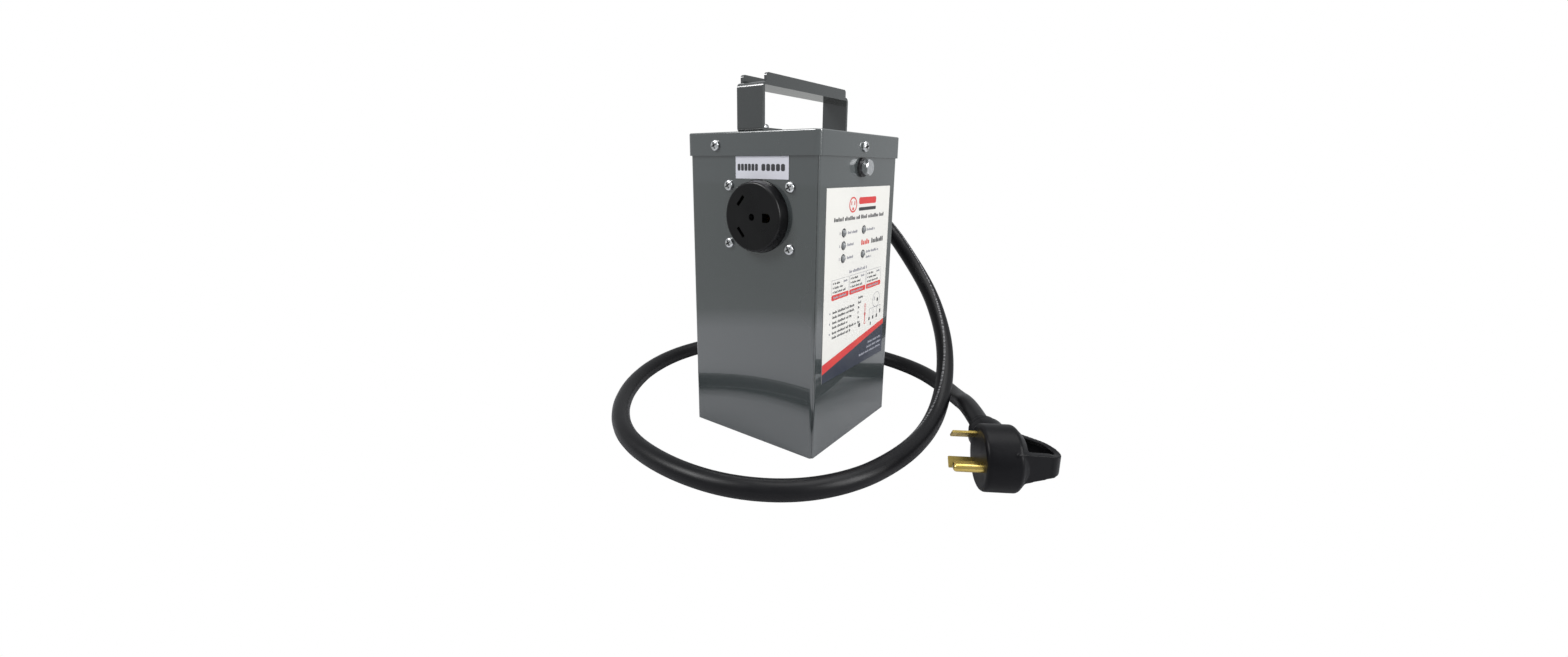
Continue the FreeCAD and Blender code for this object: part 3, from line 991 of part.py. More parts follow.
# ---------------------------------------------------------------- tap-changing relay
def make_relay():
    base_top = BOARD_FACE + RELAY_BASE_SHEET
    y0 = RELAY_Y
    z0 = RELAY_Z
    end_y = y0 + RELAY_FRONT
    back_y = y0 - RELAY_BACK
    low = z0 - RELAY_HALF
    high = z0 + RELAY_HALF
    add("relay_base", block(BOARD_FACE, base_top, back_y, end_y, low, high))
    arm_top = base_top + RELAY_FRAME_RISE
    half = RELAY_FRAME_HALF
    yoke = block(base_top, base_top + RELAY_FRAME, y0, y0 + RELAY_FRAME_RISE, z0 - half, z0 + half)
    yoke = yoke.fuse(block(base_top, arm_top, y0, y0 + RELAY_FRAME, z0 - half, z0 + half))
    add("relay_yoke", yoke.removeSplitter())
    coil_seat = Vector(base_top + RELAY_FRAME, y0 + RELAY_COIL_Y, z0)
    pole_height = arm_top - coil_seat.x
    pin = rod(RELAY_POLE, coil_seat, X_AXIS, pole_height)
    pin = pin.fuse(rod(RELAY_POLE_HEAD, coil_seat + X_AXIS * (pole_height - 1.0), X_AXIS, 1.0))
    add("relay_core_pin", pin.removeSplitter())
    bobbin_length = pole_height - 1.2
    bore = RELAY_POLE + 0.1
    flange = RELAY_POLE + 4.0
    bobbin = ring(bore + 0.8, bore, coil_seat, X_AXIS, bobbin_length)
    bobbin = bobbin.fuse(ring(flange, bore, coil_seat, X_AXIS, 1.0))
    bobbin = bobbin.fuse(ring(flange, bore, coil_seat + X_AXIS * (bobbin_length - 1.0), X_AXIS, 1.0))
    add("relay_bobbin", bobbin.removeSplitter())
    add("relay_coil", ring(flange - 0.5, bore + 0.85, coil_seat + X_AXIS, X_AXIS, bobbin_length - 2.0))

    plate_x = arm_top + RELAY_GAP
    edge = half - 0.5
    contact_y = y0 + RELAY_CONTACT_Y
    plate = block(plate_x, plate_x + RELAY_PLATE, y0 + 0.2, y0 + RELAY_PLATE_END, z0 - edge, z0 + edge)
    button_seat = Vector(plate_x - RELAY_CONTACT_RISE, contact_y, z0)
    button = rod(RELAY_CONTACT, button_seat, X_AXIS, RELAY_CONTACT_RISE + 0.2)
    armature = plate.fuse(button).removeSplitter()
    armature.rotate(Vector(plate_x, y0 + RELAY_FRAME / 2.0, z0), Z_AXIS, -RELAY_OPEN)
    add("relay_armature", armature)
    contact_top = plate_x - RELAY_CONTACT_RISE - RELAY_GAP
    post = block(base_top, contact_top - 0.8, contact_y - 0.6, contact_y + 0.6, z0 - 2.5, z0 + 2.5)
    tip = rod(RELAY_CONTACT, Vector(contact_top - 1.0, contact_y, z0), X_AXIS, 1.0)
    add("relay_fixed_contact", post.fuse(tip).removeSplitter())
    leaf = block(base_top + half, arm_top - 0.4, y0 - 0.5, y0, z0 - 4.0, z0 + 4.0)
    add("relay_return_spring", leaf)
    wall = RELAY_COVER
    lid_x = plate_x + RELAY_COVER_RISE
    cover = block(base_top, lid_x, back_y, end_y, low, high)
    room = block(base_top - 1, lid_x - wall, back_y + wall, end_y - wall, low + wall, high - wall)
    add("relay_cover", cover.cut(room))
    print("relay hinge at", plate_x, y0 + RELAY_FRAME / 2.0, z0)


# ---------------------------------------------------------------- wires inside
def seat_point(index):
    seat = WIRE_SEATS[index]
    return outlet_point(seat.x, OUTLET_BACK_Y + TERMINAL_SHEET, seat.y)


def make_wires():
    line_in = Vector(GLAND_X - WIRE_SPREAD, TAIL_END, GLAND_Z - WIRE_DROP)
    neutral_in = Vector(GLAND_X + WIRE_SPREAD, TAIL_END, GLAND_Z - WIRE_DROP)
    ground_in = Vector(GLAND_X, TAIL_END, GLAND_Z + WIRE_RISE)
    step = Y_AXIS * -10.0
    mouth = TERMINAL_PITCH / 2.0
    top = TERMINAL_BLOCK_Z[1]
    in_bore = Vector(TERMINAL_X, mouth, top - TERMINAL_BORE_DEEP)
    out_bore = Vector(TERMINAL_X, -mouth, top - TERMINAL_BORE_DEEP)
    line_input = tube_along([line_in, line_in + step, Vector(-40, 23, 205), in_bore + Z_AXIS * 20, in_bore],
                            WIRE_DIAMETER)
    line_seat = seat_point(0)
    line_output = tube_along([out_bore, out_bore + Z_AXIS * 22, Vector(-34, -8, 220), Vector(-14, -4, 218),
                              line_seat + Y_AXIS * 18, line_seat], WIRE_DIAMETER)
    neutral_seat = seat_point(1)
    neutral = tube_along([neutral_in, neutral_in + step, Vector(-20, 18, 196), Vector(-12, 4, 180),
                          neutral_seat + Y_AXIS * 16, neutral_seat], WIRE_DIAMETER)
    add("power_wires", line_input, line_output, neutral)
    lug_end = Vector(LUG_X, LUG_END_Y, GROUND_BOLT_Z)
    ground_input = tube_along([ground_in, ground_in + step, Vector(-14, 30, 217), Vector(16, 34, 223),
                               Vector(46, 36, 226), lug_end + Y_AXIS * 22, lug_end], WIRE_DIAMETER)
    ground_seat = seat_point(2)
    ground_link = tube_along([ground_seat, ground_seat + Y_AXIS * 12, Vector(38, 0, 196),
                              Vector(48, 12, 208), Vector(48, 28, 216)], WIRE_DIAMETER)
    add("ground_wires", ground_input, ground_link)


# ---------------------------------------------------------------- build
def main():
    make_shell()
    make_base()
    make_lid()
    make_handle()
    make_outlet()
    make_labels()
    make_lamps()
    make_ground()
    make_gland()
    make_plug()
    make_cord()
    make_transformer()
    make_board()
    make_relay()
    make_wires()
    os.makedirs("parts", exist_ok=True)
    for name, shape in PARTS.items():
        shape.exportStep("parts/" + name + ".step")
    print(len(PARTS), "nodes")


main()
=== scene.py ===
"""Dressed model of a travel trailer protector box with its supply cord and plug.

The box is 127 x 127 x 254 mm, the origin is the centre of its underside, -Y is the outlet side,
+X the label side and +Y the side that the cord leaves.  Everything is in metres.
"""

import logging
import math
from dataclasses import dataclass, field
from enum import Enum

import bmesh
import bpy
from mathutils import Matrix, Vector


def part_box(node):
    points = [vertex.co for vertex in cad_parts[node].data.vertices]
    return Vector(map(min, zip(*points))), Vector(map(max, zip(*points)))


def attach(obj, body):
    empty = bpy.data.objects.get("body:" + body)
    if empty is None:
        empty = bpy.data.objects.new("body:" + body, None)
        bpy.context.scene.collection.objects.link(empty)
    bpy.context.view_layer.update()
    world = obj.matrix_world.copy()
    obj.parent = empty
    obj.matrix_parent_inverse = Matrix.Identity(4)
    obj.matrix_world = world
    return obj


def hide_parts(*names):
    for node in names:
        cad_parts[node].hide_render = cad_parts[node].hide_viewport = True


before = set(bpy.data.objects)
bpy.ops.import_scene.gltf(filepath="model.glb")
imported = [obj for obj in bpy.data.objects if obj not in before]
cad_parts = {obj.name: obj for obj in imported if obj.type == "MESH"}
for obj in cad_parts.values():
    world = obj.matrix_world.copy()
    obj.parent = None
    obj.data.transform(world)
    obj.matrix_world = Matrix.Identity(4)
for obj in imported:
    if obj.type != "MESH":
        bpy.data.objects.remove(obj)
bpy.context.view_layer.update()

MM = 0.001
BOX_BODY = "box"
WHITE = (1.0, 1.0, 1.0, 1.0)
DUST_COLOUR = (0.42, 0.40, 0.37)
# Colour and reach of the painted shade that darkens recesses, where little light falls.
PAINTED_SHADE_COLOUR = (0.02, 0.02, 0.02)
PAINTED_SHADE_REACH = 0.0022
JACKET_PRINT_COLOUR = (0.24, 0.24, 0.25)

Colour = tuple[float, float, float]
Flat = tuple[float, float]
Point = tuple[float, float, float]

log = logging.getLogger("protector")


# ---------------------------------------------------------------- node helpers
class NodeBench:
    """Adds and links nodes in one shader tree, left to right."""

    def __init__(self, tree: bpy.types.NodeTree) -> None:
        """Start on an empty tree.

        Args:
            tree: the tree that the nodes go into.
        """
        self.tree = tree
        self.count = 0
        tree.nodes.clear()

    def add(self, kind: str, values: dict[str | int, object] | None = None,
            **settings: object) -> bpy.types.Node:
        """Add one node.

        Args:
            kind: Blender's own name of the node type.
            values: what its inputs get, by their names or places.
            **settings: attributes set on the node.

        Returns:
            The new node.
        """
        node = self.tree.nodes.new(kind)
        node.location = (180.0 * (self.count % 12), -260.0 * (self.count // 12))
        self.count += 1
        for name, value in settings.items():
            setattr(node, name, value)
        for place, value in (values or {}).items():
            self.feed(node.inputs[place], value)
        return node

    def feed(self, target: bpy.types.NodeSocket, value: object) -> None:
        """Give an input what it gets.

        Args:
            target: the input.
            value: a socket to link, or a number or colour to set.
        """
        if isinstance(value, bpy.types.NodeSocket):
            self.tree.links.new(value, target)
        else:
            target.default_value = value

    def maths(self, operation: str, first: object, second: object = 0.0,
              clamp: bool = False) -> bpy.types.NodeSocket:
        """Add a Math node.

        Args:
            operation: the sum it does.
            first: a socket or a number.
            second: a socket or a number.
            clamp: keep the answer between nought and one.

        Returns:
            The answer's socket.
        """
        return self.add("ShaderNodeMath", {0: first, 1: second}, operation=operation,
                        use_clamp=clamp).outputs[0]

    def blend(self, share: bpy.types.NodeSocket, first: object, second: Colour) -> bpy.types.NodeSocket:
        """Mix two colours.

        Args:
            share: how much of the second colour.
            first: a socket or a colour.
            second: a colour.

        Returns:
            The mixed colour's socket.
        """
        below = (*first, 1.0) if isinstance(first, tuple) else first
        return self.add("ShaderNodeMix", {0: share, 6: below, 7: (*second, 1.0)},
                        data_type="RGBA").outputs[2]

    def ramp(self, value: bpy.types.NodeSocket, low: float, high: float) -> bpy.types.NodeSocket:
        """Spread a value so that low becomes nought and high one.

        Args:
            value: the socket to spread.
            low: the value that becomes nought.
            high: the value that becomes one.

        Returns:
            The spread value's socket.
        """
        return self.add("ShaderNodeMapRange", {"Value": value, "From Min": low,
                                               "From Max": high}).outputs["Result"]

    def noise(self, scale: object, detail: float) -> bpy.types.NodeSocket:
        """Add noise that stays with the object.

        Args:
            scale: how many cells there are in a metre, a socket or a number.
            detail: how many finer layers it has.

        Returns:
            The noise's socket, around a half.
        """
        place = self.add("ShaderNodeTexCoord").outputs["Object"]
        return self.add("ShaderNodeTexNoise", {"Vector": place, "Scale": scale,
                                               "Detail": detail}).outputs["Fac"]

    def axes(self, source: bpy.types.NodeSocket) -> bpy.types.bpy_prop_collection:
        """Split a vector.

        Args:
            source: the vector's socket.

        Returns:
            Its X, Y and Z sockets.
        """
        return self.add("ShaderNodeSeparateXYZ", {0: source}).outputs


class Effect(Enum):
    """Surface effects that several finishes share."""

    MOTTLE = "surface_mottle"
    WEAR = "edge_wear"
    GRAIN = "fine_grain"
    DUST = "settled_dust"
    BANDS = "fine_bands"
    # Painted shade: recesses darkened by ambient occlusion.
    CREVICE = "dark_crevices"
    PRINT = "jacket_print"


@dataclass
class EffectShelf:
    """The shared shader groups, each made once and kept by its effect.

    Attributes:
        made: the groups so far.
    """

    made: dict[Effect, bpy.types.NodeTree] = field(default_factory=dict)

    def group(self, effect: Effect) -> bpy.types.NodeTree:
        """Give the group of an effect, and make it the first time.

        Args:
            effect: which effect.

        Returns:
            The shader group.
        """
        if effect not in self.made:
            makers = {
                Effect.MOTTLE: self.make_mottle,
                Effect.WEAR: self.make_wear,
                Effect.GRAIN: self.make_grain,
                Effect.DUST: self.make_dust,
                Effect.BANDS: self.make_bands,
                Effect.CREVICE: self.make_crevice,
                Effect.PRINT: self.make_print,
            }
            self.made[effect] = makers[effect]()
        return self.made[effect]

    @staticmethod
    def start(effect: Effect, inputs: dict[str, float],
              output: str) -> tuple[NodeBench, bpy.types.bpy_prop_collection, bpy.types.NodeSocket]:
        """Open a group with number inputs and one number output.

        Args:
            effect: the effect that names the group.
            inputs: each input's first value, by its name.
            output: the output's name.

        Returns:
            The bench, the outputs of the group's input node and the socket that takes the result.
        """
        tree = bpy.data.node_groups.new(effect.value, "ShaderNodeTree")
        for name, value in inputs.items():
            socket = tree.interface.new_socket(name=name, in_out="INPUT", socket_type="NodeSocketFloat")
            socket.default_value = value
        tree.interface.new_socket(name=output, in_out="OUTPUT", socket_type="NodeSocketFloat")
        bench = NodeBench(tree)
        given = bench.add("NodeGroupInput").outputs
        return bench, given, bench.add("NodeGroupOutput").inputs[output]

    def make_mottle(self) -> bpy.types.NodeTree:
        """Soft cloudy variation, as paint and mouldings have.

        Returns:
            The group, with a Mask from nought to one.
        """
        bench, given, mask = self.start(Effect.MOTTLE, {"Scale": 30.0, "Contrast": 0.5}, "Mask")
        centred = bench.maths("SUBTRACT", bench.noise(given["Scale"], 5.0), 0.5)
        spread = bench.maths("MULTIPLY", centred, given["Contrast"])
        lifted = bench.maths("MULTIPLY", spread, 4.0)
        bench.feed(mask, bench.maths("ADD", lifted, 0.5, clamp=True))
        return bench.tree

    def make_wear(self) -> bpy.types.NodeTree:
        """Rubbed outer edges, broken up so that no edge is evenly worn.

        Returns:
            The group, with a Mask that is one where the surface is worn.
        """
        bench, given, mask = self.start(Effect.WEAR, {"Radius": 0.0008, "Amount": 0.5}, "Mask")
        rounded = bench.add("ShaderNodeBevel", {"Radius": given["Radius"]}, samples=4)
        plain = bench.add("ShaderNodeNewGeometry")
        turn = bench.add("ShaderNodeVectorMath", {0: rounded.outputs["Normal"], 1: plain.outputs["Normal"]},
                         operation="DOT_PRODUCT")
        edge = bench.ramp(turn.outputs["Value"], 0.995, 0.8)
        broken = bench.ramp(bench.noise(260.0, 4.0), 0.42, 0.62)
        worn = bench.maths("MULTIPLY", edge, broken)
        bench.feed(mask, bench.maths("MULTIPLY", worn, given["Amount"], clamp=True))
        return bench.tree

    def make_crevice(self) -> bpy.types.NodeTree:
        """Painted shade: recesses that little light reaches are darkened, found by ambient occlusion.

        Returns:
            The group, with a Mask of painted shade that is one deep in a recess.
        """
        bench, given, mask = self.start(Effect.CREVICE, {"Radius": 0.002, "Amount": 1.0}, "Mask")
        occluded_shade = bench.add("ShaderNodeAmbientOcclusion", {"Distance": given["Radius"]}, samples=6)
        deep = bench.ramp(occluded_shade.outputs["AO"], 0.80, 0.35)
        bench.feed(mask, bench.maths("MULTIPLY", deep, given["Amount"], clamp=True))
        return bench.tree

    def make_print(self) -> bpy.types.NodeTree:
        """Broken line of small marks along a cord, turning slowly round it as the cord twists.

        Returns:
            The group, with a Mask that is one on a mark.
        """
        inputs = {"Around": 0.5, "Twist": 1.0, "Half Width": 0.018, "Pitch": 900.0}
        bench, given, mask = self.start(Effect.PRINT, inputs, "Mask")
        along, round_it, _ = bench.axes(bench.add("ShaderNodeTexCoord").outputs["UV"])
        twisted = bench.maths("MULTIPLY", along, given["Twist"])
        middle = bench.maths("FRACT", bench.maths("ADD", twisted, given["Around"]))
        off = bench.maths("ABSOLUTE", bench.maths("SUBTRACT", round_it, middle))
        inside = bench.maths("LESS_THAN", off, given["Half Width"])
        place = bench.maths("MULTIPLY", along, given["Pitch"])
        marks = bench.add("ShaderNodeTexNoise", {"W": place, "Scale": 1.0, "Detail": 3.0},
                          noise_dimensions="1D")
        broken = bench.ramp(marks.outputs["Fac"], 0.47, 0.56)
        bench.feed(mask, bench.maths("MULTIPLY", inside, broken, clamp=True))
        return bench.tree

    def make_grain(self) -> bpy.types.NodeTree:
        """Fine texture of a moulded, sprayed or plated surface.

        Returns:
            The group, with a Height.
        """
        bench, given, height = self.start(Effect.GRAIN, {"Scale": 900.0, "Depth": 1.0}, "Height")
        fine = bench.noise(given["Scale"], 3.0)
        bench.feed(height, bench.maths("MULTIPLY", fine, given["Depth"]))
        return bench.tree

    def make_dust(self) -> bpy.types.NodeTree:
        """Thin dust on surfaces that face up.

        Returns:
            The group, with a Mask that is one where dust lies.
        """
        bench, given, mask = self.start(Effect.DUST, {"Amount": 0.1}, "Mask")
        facing = bench.axes(bench.add("ShaderNodeNewGeometry").outputs["Normal"])
        upward = bench.ramp(facing["Z"], 0.55, 1.0)
        cover = bench.ramp(bench.noise(140.0, 8.0), 0.4, 0.7)
        lying = bench.maths("MULTIPLY", upward, cover)
        bench.feed(mask, bench.maths("MULTIPLY", lying, given["Amount"], clamp=True))
        return bench.tree

    def make_bands(self) -> bpy.types.NodeTree:
        """Even fine lines across one way, such as laminations, wire turns or moulded ribs.

        Returns:
            The group, with a Line value that swings between nought and one.
        """
        inputs = {"Pitch": 0.001, "Across X": 0.0, "Across Y": 1.0, "Across Z": 0.0}
        bench, given, line = self.start(Effect.BANDS, inputs, "Line")
        place = bench.axes(bench.add("ShaderNodeTexCoord").outputs["Object"])
        total = bench.maths("MULTIPLY", place["X"], given["Across X"])
        for axis in ("Y", "Z"):
            share = bench.maths("MULTIPLY", place[axis], given["Across " + axis])
            total = bench.maths("ADD", total, share)
        turns = bench.maths("DIVIDE", total, given["Pitch"])
        swing = bench.maths("SINE", bench.maths("MULTIPLY", turns, 2.0 * math.pi))
        half = bench.maths("MULTIPLY", swing, 0.5)
        bench.feed(line, bench.maths("ADD", half, 0.5))
        return bench.tree


SHELF = EffectShelf()


class Across(Enum):
    """The way that a finish's fine lines run across."""

    X = (1.0, 0.0, 0.0)
    Y = (0.0, 1.0, 0.0)
    Z = (0.0, 0.0, 1.0)


@dataclass(frozen=True)
class Finish:
    """One surface finish, and how its colour, gloss and texture change over the surface.

    Attributes:
        name: the material's name.
        colour: its main colour, linear.
        shade: the colour of its cloudy patches.
        roughness: roughness of its main colour.
        unevenness: how much rougher the patches are.
        metallic: one for bare metal.
        patch_scale: how many patches there are in a metre.
        patch_contrast: how clear the patches are.
        grain_scale: how many grains there are in a metre.
        grain_depth: height of the grain in metres.
        wear: share of an edge that is rubbed.
        wear_radius: how far in from an edge the wear reaches.
        wear_colour: colour under the finish.
        dust: share that dust hides on surfaces facing up.
        coat: weight of a clear coat.
        coat_roughness: roughness of the clear coat.
        coat_index: index of refraction of the clear coat.
        clearness: share of light that goes through.
        gleam: strength of its highlights, a half for plain plastic.
        sheen_index: index of refraction.
        line_pitch: spacing of fine lines in metres, nought for none.
        line_way: the way that the lines run across.
        line_depth: height of the lines in metres.
        line_colour: colour between the lines.
        crevice: how dark the painted shade in its recesses is.
        print_around: place round a cord of its printed line, nought for none.
    """

    name: str
    colour: Colour
    shade: Colour
    roughness: float = 0.4
    unevenness: float = 0.08
    metallic: float = 0.0
    patch_scale: float = 25.0
    patch_contrast: float = 0.5
    grain_scale: float = 1500.0
    grain_depth: float = 0.00002
    wear: float = 0.0
    wear_radius: float = 0.0008
    wear_colour: Colour = (0.5, 0.5, 0.5)
    dust: float = 0.0
    coat: float = 0.0
    coat_roughness: float = 0.1
    coat_index: float = 1.5
    clearness: float = 0.0
    gleam: float = 0.5
    sheen_index: float = 1.5
    line_pitch: float = 0.0
    line_way: Across = Across.Y
    line_depth: float = 0.0
    line_colour: Colour = (0.02, 0.02, 0.02)
    crevice: float = 0.0
    print_around: float = 0.0

    def effect(self, bench: NodeBench, effect: Effect, output: str, **values: float) -> bpy.types.NodeSocket:
        """Place a shared effect in this finish with its own values.

        Args:
            bench: the material's bench.
            effect: which effect.
            output: the output to use.
            **values: its inputs, with underscores for spaces.

        Returns:
            The effect's output socket.
        """
        node = bench.add("ShaderNodeGroup", node_tree=SHELF.group(effect))
        for name, value in values.items():
            bench.feed(node.inputs[name.replace("_", " ")], value)
        return node.outputs[output]

    def material(self) -> bpy.types.Material:
        """Give the finish's material, and make it the first time.

        Returns:
            The material.
        """
        known = bpy.data.materials.get(self.name)
        if known is not None:
            return known
        made = bpy.data.materials.new(self.name)
        made.use_nodes = True
        bench = NodeBench(made.node_tree)
        patches = self.effect(bench, Effect.MOTTLE, "Mask", Scale=self.patch_scale,
                              Contrast=self.patch_contrast)
        colour = bench.blend(patches, self.colour, self.shade)
        rough = bench.maths("ADD", bench.maths("MULTIPLY", patches, self.unevenness), self.roughness)
        height = self.effect(bench, Effect.GRAIN, "Height", Scale=self.grain_scale, Depth=self.grain_depth)
        if self.line_pitch > 0.0:
            across = self.line_way.value
            line = self.effect(bench, Effect.BANDS, "Line", Pitch=self.line_pitch, Across_X=across[0],
                               Across_Y=across[1], Across_Z=across[2])
            colour = bench.blend(bench.ramp(line, 0.75, 0.0), colour, self.line_colour)
            height = bench.maths("ADD", height, bench.maths("MULTIPLY", line, self.line_depth))
        if self.wear > 0.0:
            worn = self.effect(bench, Effect.WEAR, "Mask", Radius=self.wear_radius, Amount=self.wear)
            colour = bench.blend(worn, colour, self.wear_colour)
        if self.dust > 0.0:
            lying = self.effect(bench, Effect.DUST, "Mask", Amount=self.dust)
            colour = bench.blend(lying, colour, DUST_COLOUR)
            rough = bench.maths("ADD", rough, bench.maths("MULTIPLY", lying, 0.4), clamp=True)
        # Painted shade: ambient occlusion darkens the recesses towards a near black.
        if self.crevice > 0.0:
            occluded_shade = self.effect(bench, Effect.CREVICE, "Mask", Radius=PAINTED_SHADE_REACH, Amount=self.crevice)
            colour = bench.blend(occluded_shade, colour, PAINTED_SHADE_COLOUR)
        if self.print_around > 0.0:
            marked = self.effect(bench, Effect.PRINT, "Mask", Around=self.print_around)
            colour = bench.blend(marked, colour, JACKET_PRINT_COLOUR)
        bump = bench.add("ShaderNodeBump", {"Height": height, "Distance": 1.0})
        surface = bench.add("ShaderNodeBsdfPrincipled", {
            "Base Color": colour, "Roughness": rough, "Normal": bump.outputs["Normal"],
            "Metallic": self.metallic, "IOR": self.sheen_index, "Specular IOR Level": self.gleam,
            "Coat Weight": self.coat, "Coat Roughness": self.coat_roughness, "Coat IOR": self.coat_index,
            "Transmission Weight": self.clearness})
        bench.add("ShaderNodeOutputMaterial", {"Surface": surface.outputs["BSDF"]})
        return made


PAINT = Finish("grey_green_paint", (0.042, 0.050, 0.051), (0.049, 0.057, 0.058), roughness=0.20,
               unevenness=0.04, patch_scale=9.0, patch_contrast=0.35, grain_scale=420.0,
               grain_depth=0.000012, wear=0.35, wear_radius=0.0005, wear_colour=(0.17, 0.18, 0.18),
               dust=0.01, coat=1.0, coat_roughness=0.035, coat_index=1.85)
HANDLE_PAINT = Finish("handle_paint", (0.022, 0.026, 0.026), (0.027, 0.031, 0.031), roughness=0.20,
                      unevenness=0.04, patch_scale=22.0, patch_contrast=0.4, grain_scale=420.0,
                      grain_depth=0.000014, wear=0.5, wear_radius=0.0006, wear_colour=(0.20, 0.21, 0.21),
                      dust=0.01, coat=1.0, coat_roughness=0.05, coat_index=1.66)
# Bright zinc; its recesses, such as the screw crosses, get painted shade.
ZINC = Finish("bright_zinc", (0.86, 0.87, 0.88), (0.70, 0.72, 0.74), roughness=0.15, unevenness=0.12,
              metallic=1.0, patch_scale=420.0, patch_contrast=0.8, grain_scale=2600.0,
              grain_depth=0.00001, crevice=1.0)
DARK_PLATE = Finish("dark_plate", (0.07, 0.07, 0.075), (0.11, 0.11, 0.11), roughness=0.36,
                    unevenness=0.12, metallic=0.9, patch_scale=300.0, grain_scale=2400.0,
                    grain_depth=0.00001, wear=0.4, wear_radius=0.0003, wear_colour=(0.4, 0.4, 0.4))
PLAIN_STEEL = Finish("plain_steel", (0.52, 0.53, 0.54), (0.42, 0.43, 0.45), roughness=0.34,
                     unevenness=0.12, metallic=1.0, patch_scale=60.0, grain_scale=2000.0,
                     grain_depth=0.00002)
LAMINATIONS = Finish("varnished_laminations", (0.24, 0.22, 0.20), (0.17, 0.16, 0.15), roughness=0.42,
                     metallic=0.6, patch_scale=50.0, line_pitch=0.0010, line_way=Across.Y,
                     line_depth=0.00012, line_colour=(0.05, 0.045, 0.04))
OUTLET_BLACK = Finish("outlet_moulding", (0.0025, 0.0025, 0.0030), (0.004, 0.004, 0.0045), roughness=0.24,
                      gleam=0.30, unevenness=0.10, patch_scale=60.0, grain_scale=1600.0,
                      grain_depth=0.000012, wear=0.10, wear_radius=0.0004, wear_colour=(0.03, 0.03, 0.034))
PLUG_BLACK = Finish("plug_moulding", (0.0032, 0.0032, 0.0040), (0.005, 0.005, 0.006), roughness=0.30,
                    gleam=0.12, unevenness=0.12, patch_scale=45.0, grain_scale=1300.0,
                    grain_depth=0.000012, wear=0.25, wear_radius=0.0006, wear_colour=(0.02, 0.02, 0.022))
BRASS = Finish("polished_brass", (0.66, 0.50, 0.16), (0.52, 0.38, 0.10), roughness=0.18,
               unevenness=0.14, metallic=1.0, patch_scale=160.0, patch_contrast=0.7,
               grain_scale=2200.0, grain_depth=0.000012)
COPPER = Finish("enamelled_wire", (0.62, 0.25, 0.09), (0.50, 0.18, 0.06), roughness=0.25, metallic=0.9,
                patch_scale=70.0, line_pitch=0.0016, line_way=Across.Z, line_depth=0.0003,
                line_colour=(0.16, 0.05, 0.02), coat=0.5)
LABEL_WHITE = Finish("label_vinyl", (0.74, 0.73, 0.69), (0.70, 0.69, 0.66), roughness=0.34,
                     unevenness=0.06, patch_scale=18.0, grain_scale=900.0, grain_depth=0.00001, coat=0.25,
                     coat_roughness=0.2)
OUTPUT_WHITE = Finish("output_vinyl", (0.66, 0.66, 0.72), (0.62, 0.62, 0.68), roughness=0.36,
                      unevenness=0.06, patch_scale=40.0, grain_scale=900.0, grain_depth=0.00001, coat=0.25,
                      coat_roughness=0.2)
INK_BLACK = Finish("print_black", (0.030, 0.030, 0.036), (0.045, 0.045, 0.05), roughness=0.4,
                   patch_scale=600.0, grain_scale=2600.0, grain_depth=0.000004)
INK_GREY = Finish("print_grey", (0.20, 0.20, 0.24), (0.26, 0.26, 0.30), roughness=0.4,
                  patch_scale=600.0, grain_scale=2600.0, grain_depth=0.000004)
INK_RED = Finish("print_red", (0.56, 0.035, 0.045), (0.62, 0.07, 0.05), roughness=0.38,
                 patch_scale=60.0, grain_scale=2600.0, grain_depth=0.000004)
INK_NAVY = Finish("print_navy", (0.030, 0.036, 0.055), (0.040, 0.046, 0.062), roughness=0.34,
                  patch_scale=40.0, grain_scale=2600.0, grain_depth=0.000004, coat=0.25)
INK_PALE = Finish("print_pale", (0.36, 0.37, 0.42), (0.30, 0.31, 0.36), roughness=0.4,
                  patch_scale=400.0, grain_scale=2600.0, grain_depth=0.000004)
LENS = Finish("lens_plastic", (0.27, 0.28, 0.29), (0.20, 0.21, 0.215), roughness=0.12, unevenness=0.05,
              patch_scale=300.0, grain_scale=1800.0, grain_depth=0.000006, clearness=0.08)
SOLDER_MASK = Finish("solder_mask", (0.02, 0.16, 0.06), (0.03, 0.24, 0.09), roughness=0.28,
                     patch_scale=240.0, patch_contrast=2.0, coat=0.5)
PALE_PLASTIC = Finish("ivory_plastic", (0.60, 0.56, 0.46), (0.54, 0.50, 0.40), roughness=0.45,
                      patch_scale=80.0)
BLUE_EPOXY = Finish("blue_epoxy", (0.02, 0.07, 0.34), (0.03, 0.10, 0.42), roughness=0.22,
                    patch_scale=160.0, coat=0.5)
GREEN_PLASTIC = Finish("terminal_green", (0.03, 0.26, 0.10), (0.04, 0.32, 0.13), roughness=0.4,
                       patch_scale=90.0)
JACKET = Finish("jacket_rubber", (0.0028, 0.0028, 0.0036), (0.0042, 0.0042, 0.0052), roughness=0.32,
                gleam=0.22, unevenness=0.10, patch_scale=55.0, grain_scale=900.0, grain_depth=0.000008,
                print_around=0.24)
BLACK_WIRE = Finish("wire_black", (0.016, 0.016, 0.017), (0.025, 0.025, 0.026), roughness=0.4)
GREEN_WIRE = Finish("wire_green", (0.02, 0.20, 0.05), (0.03, 0.26, 0.07), roughness=0.4)
SEAL_RUBBER = Finish("seal_rubber", (0.02, 0.02, 0.02), (0.03, 0.03, 0.03), roughness=0.6)

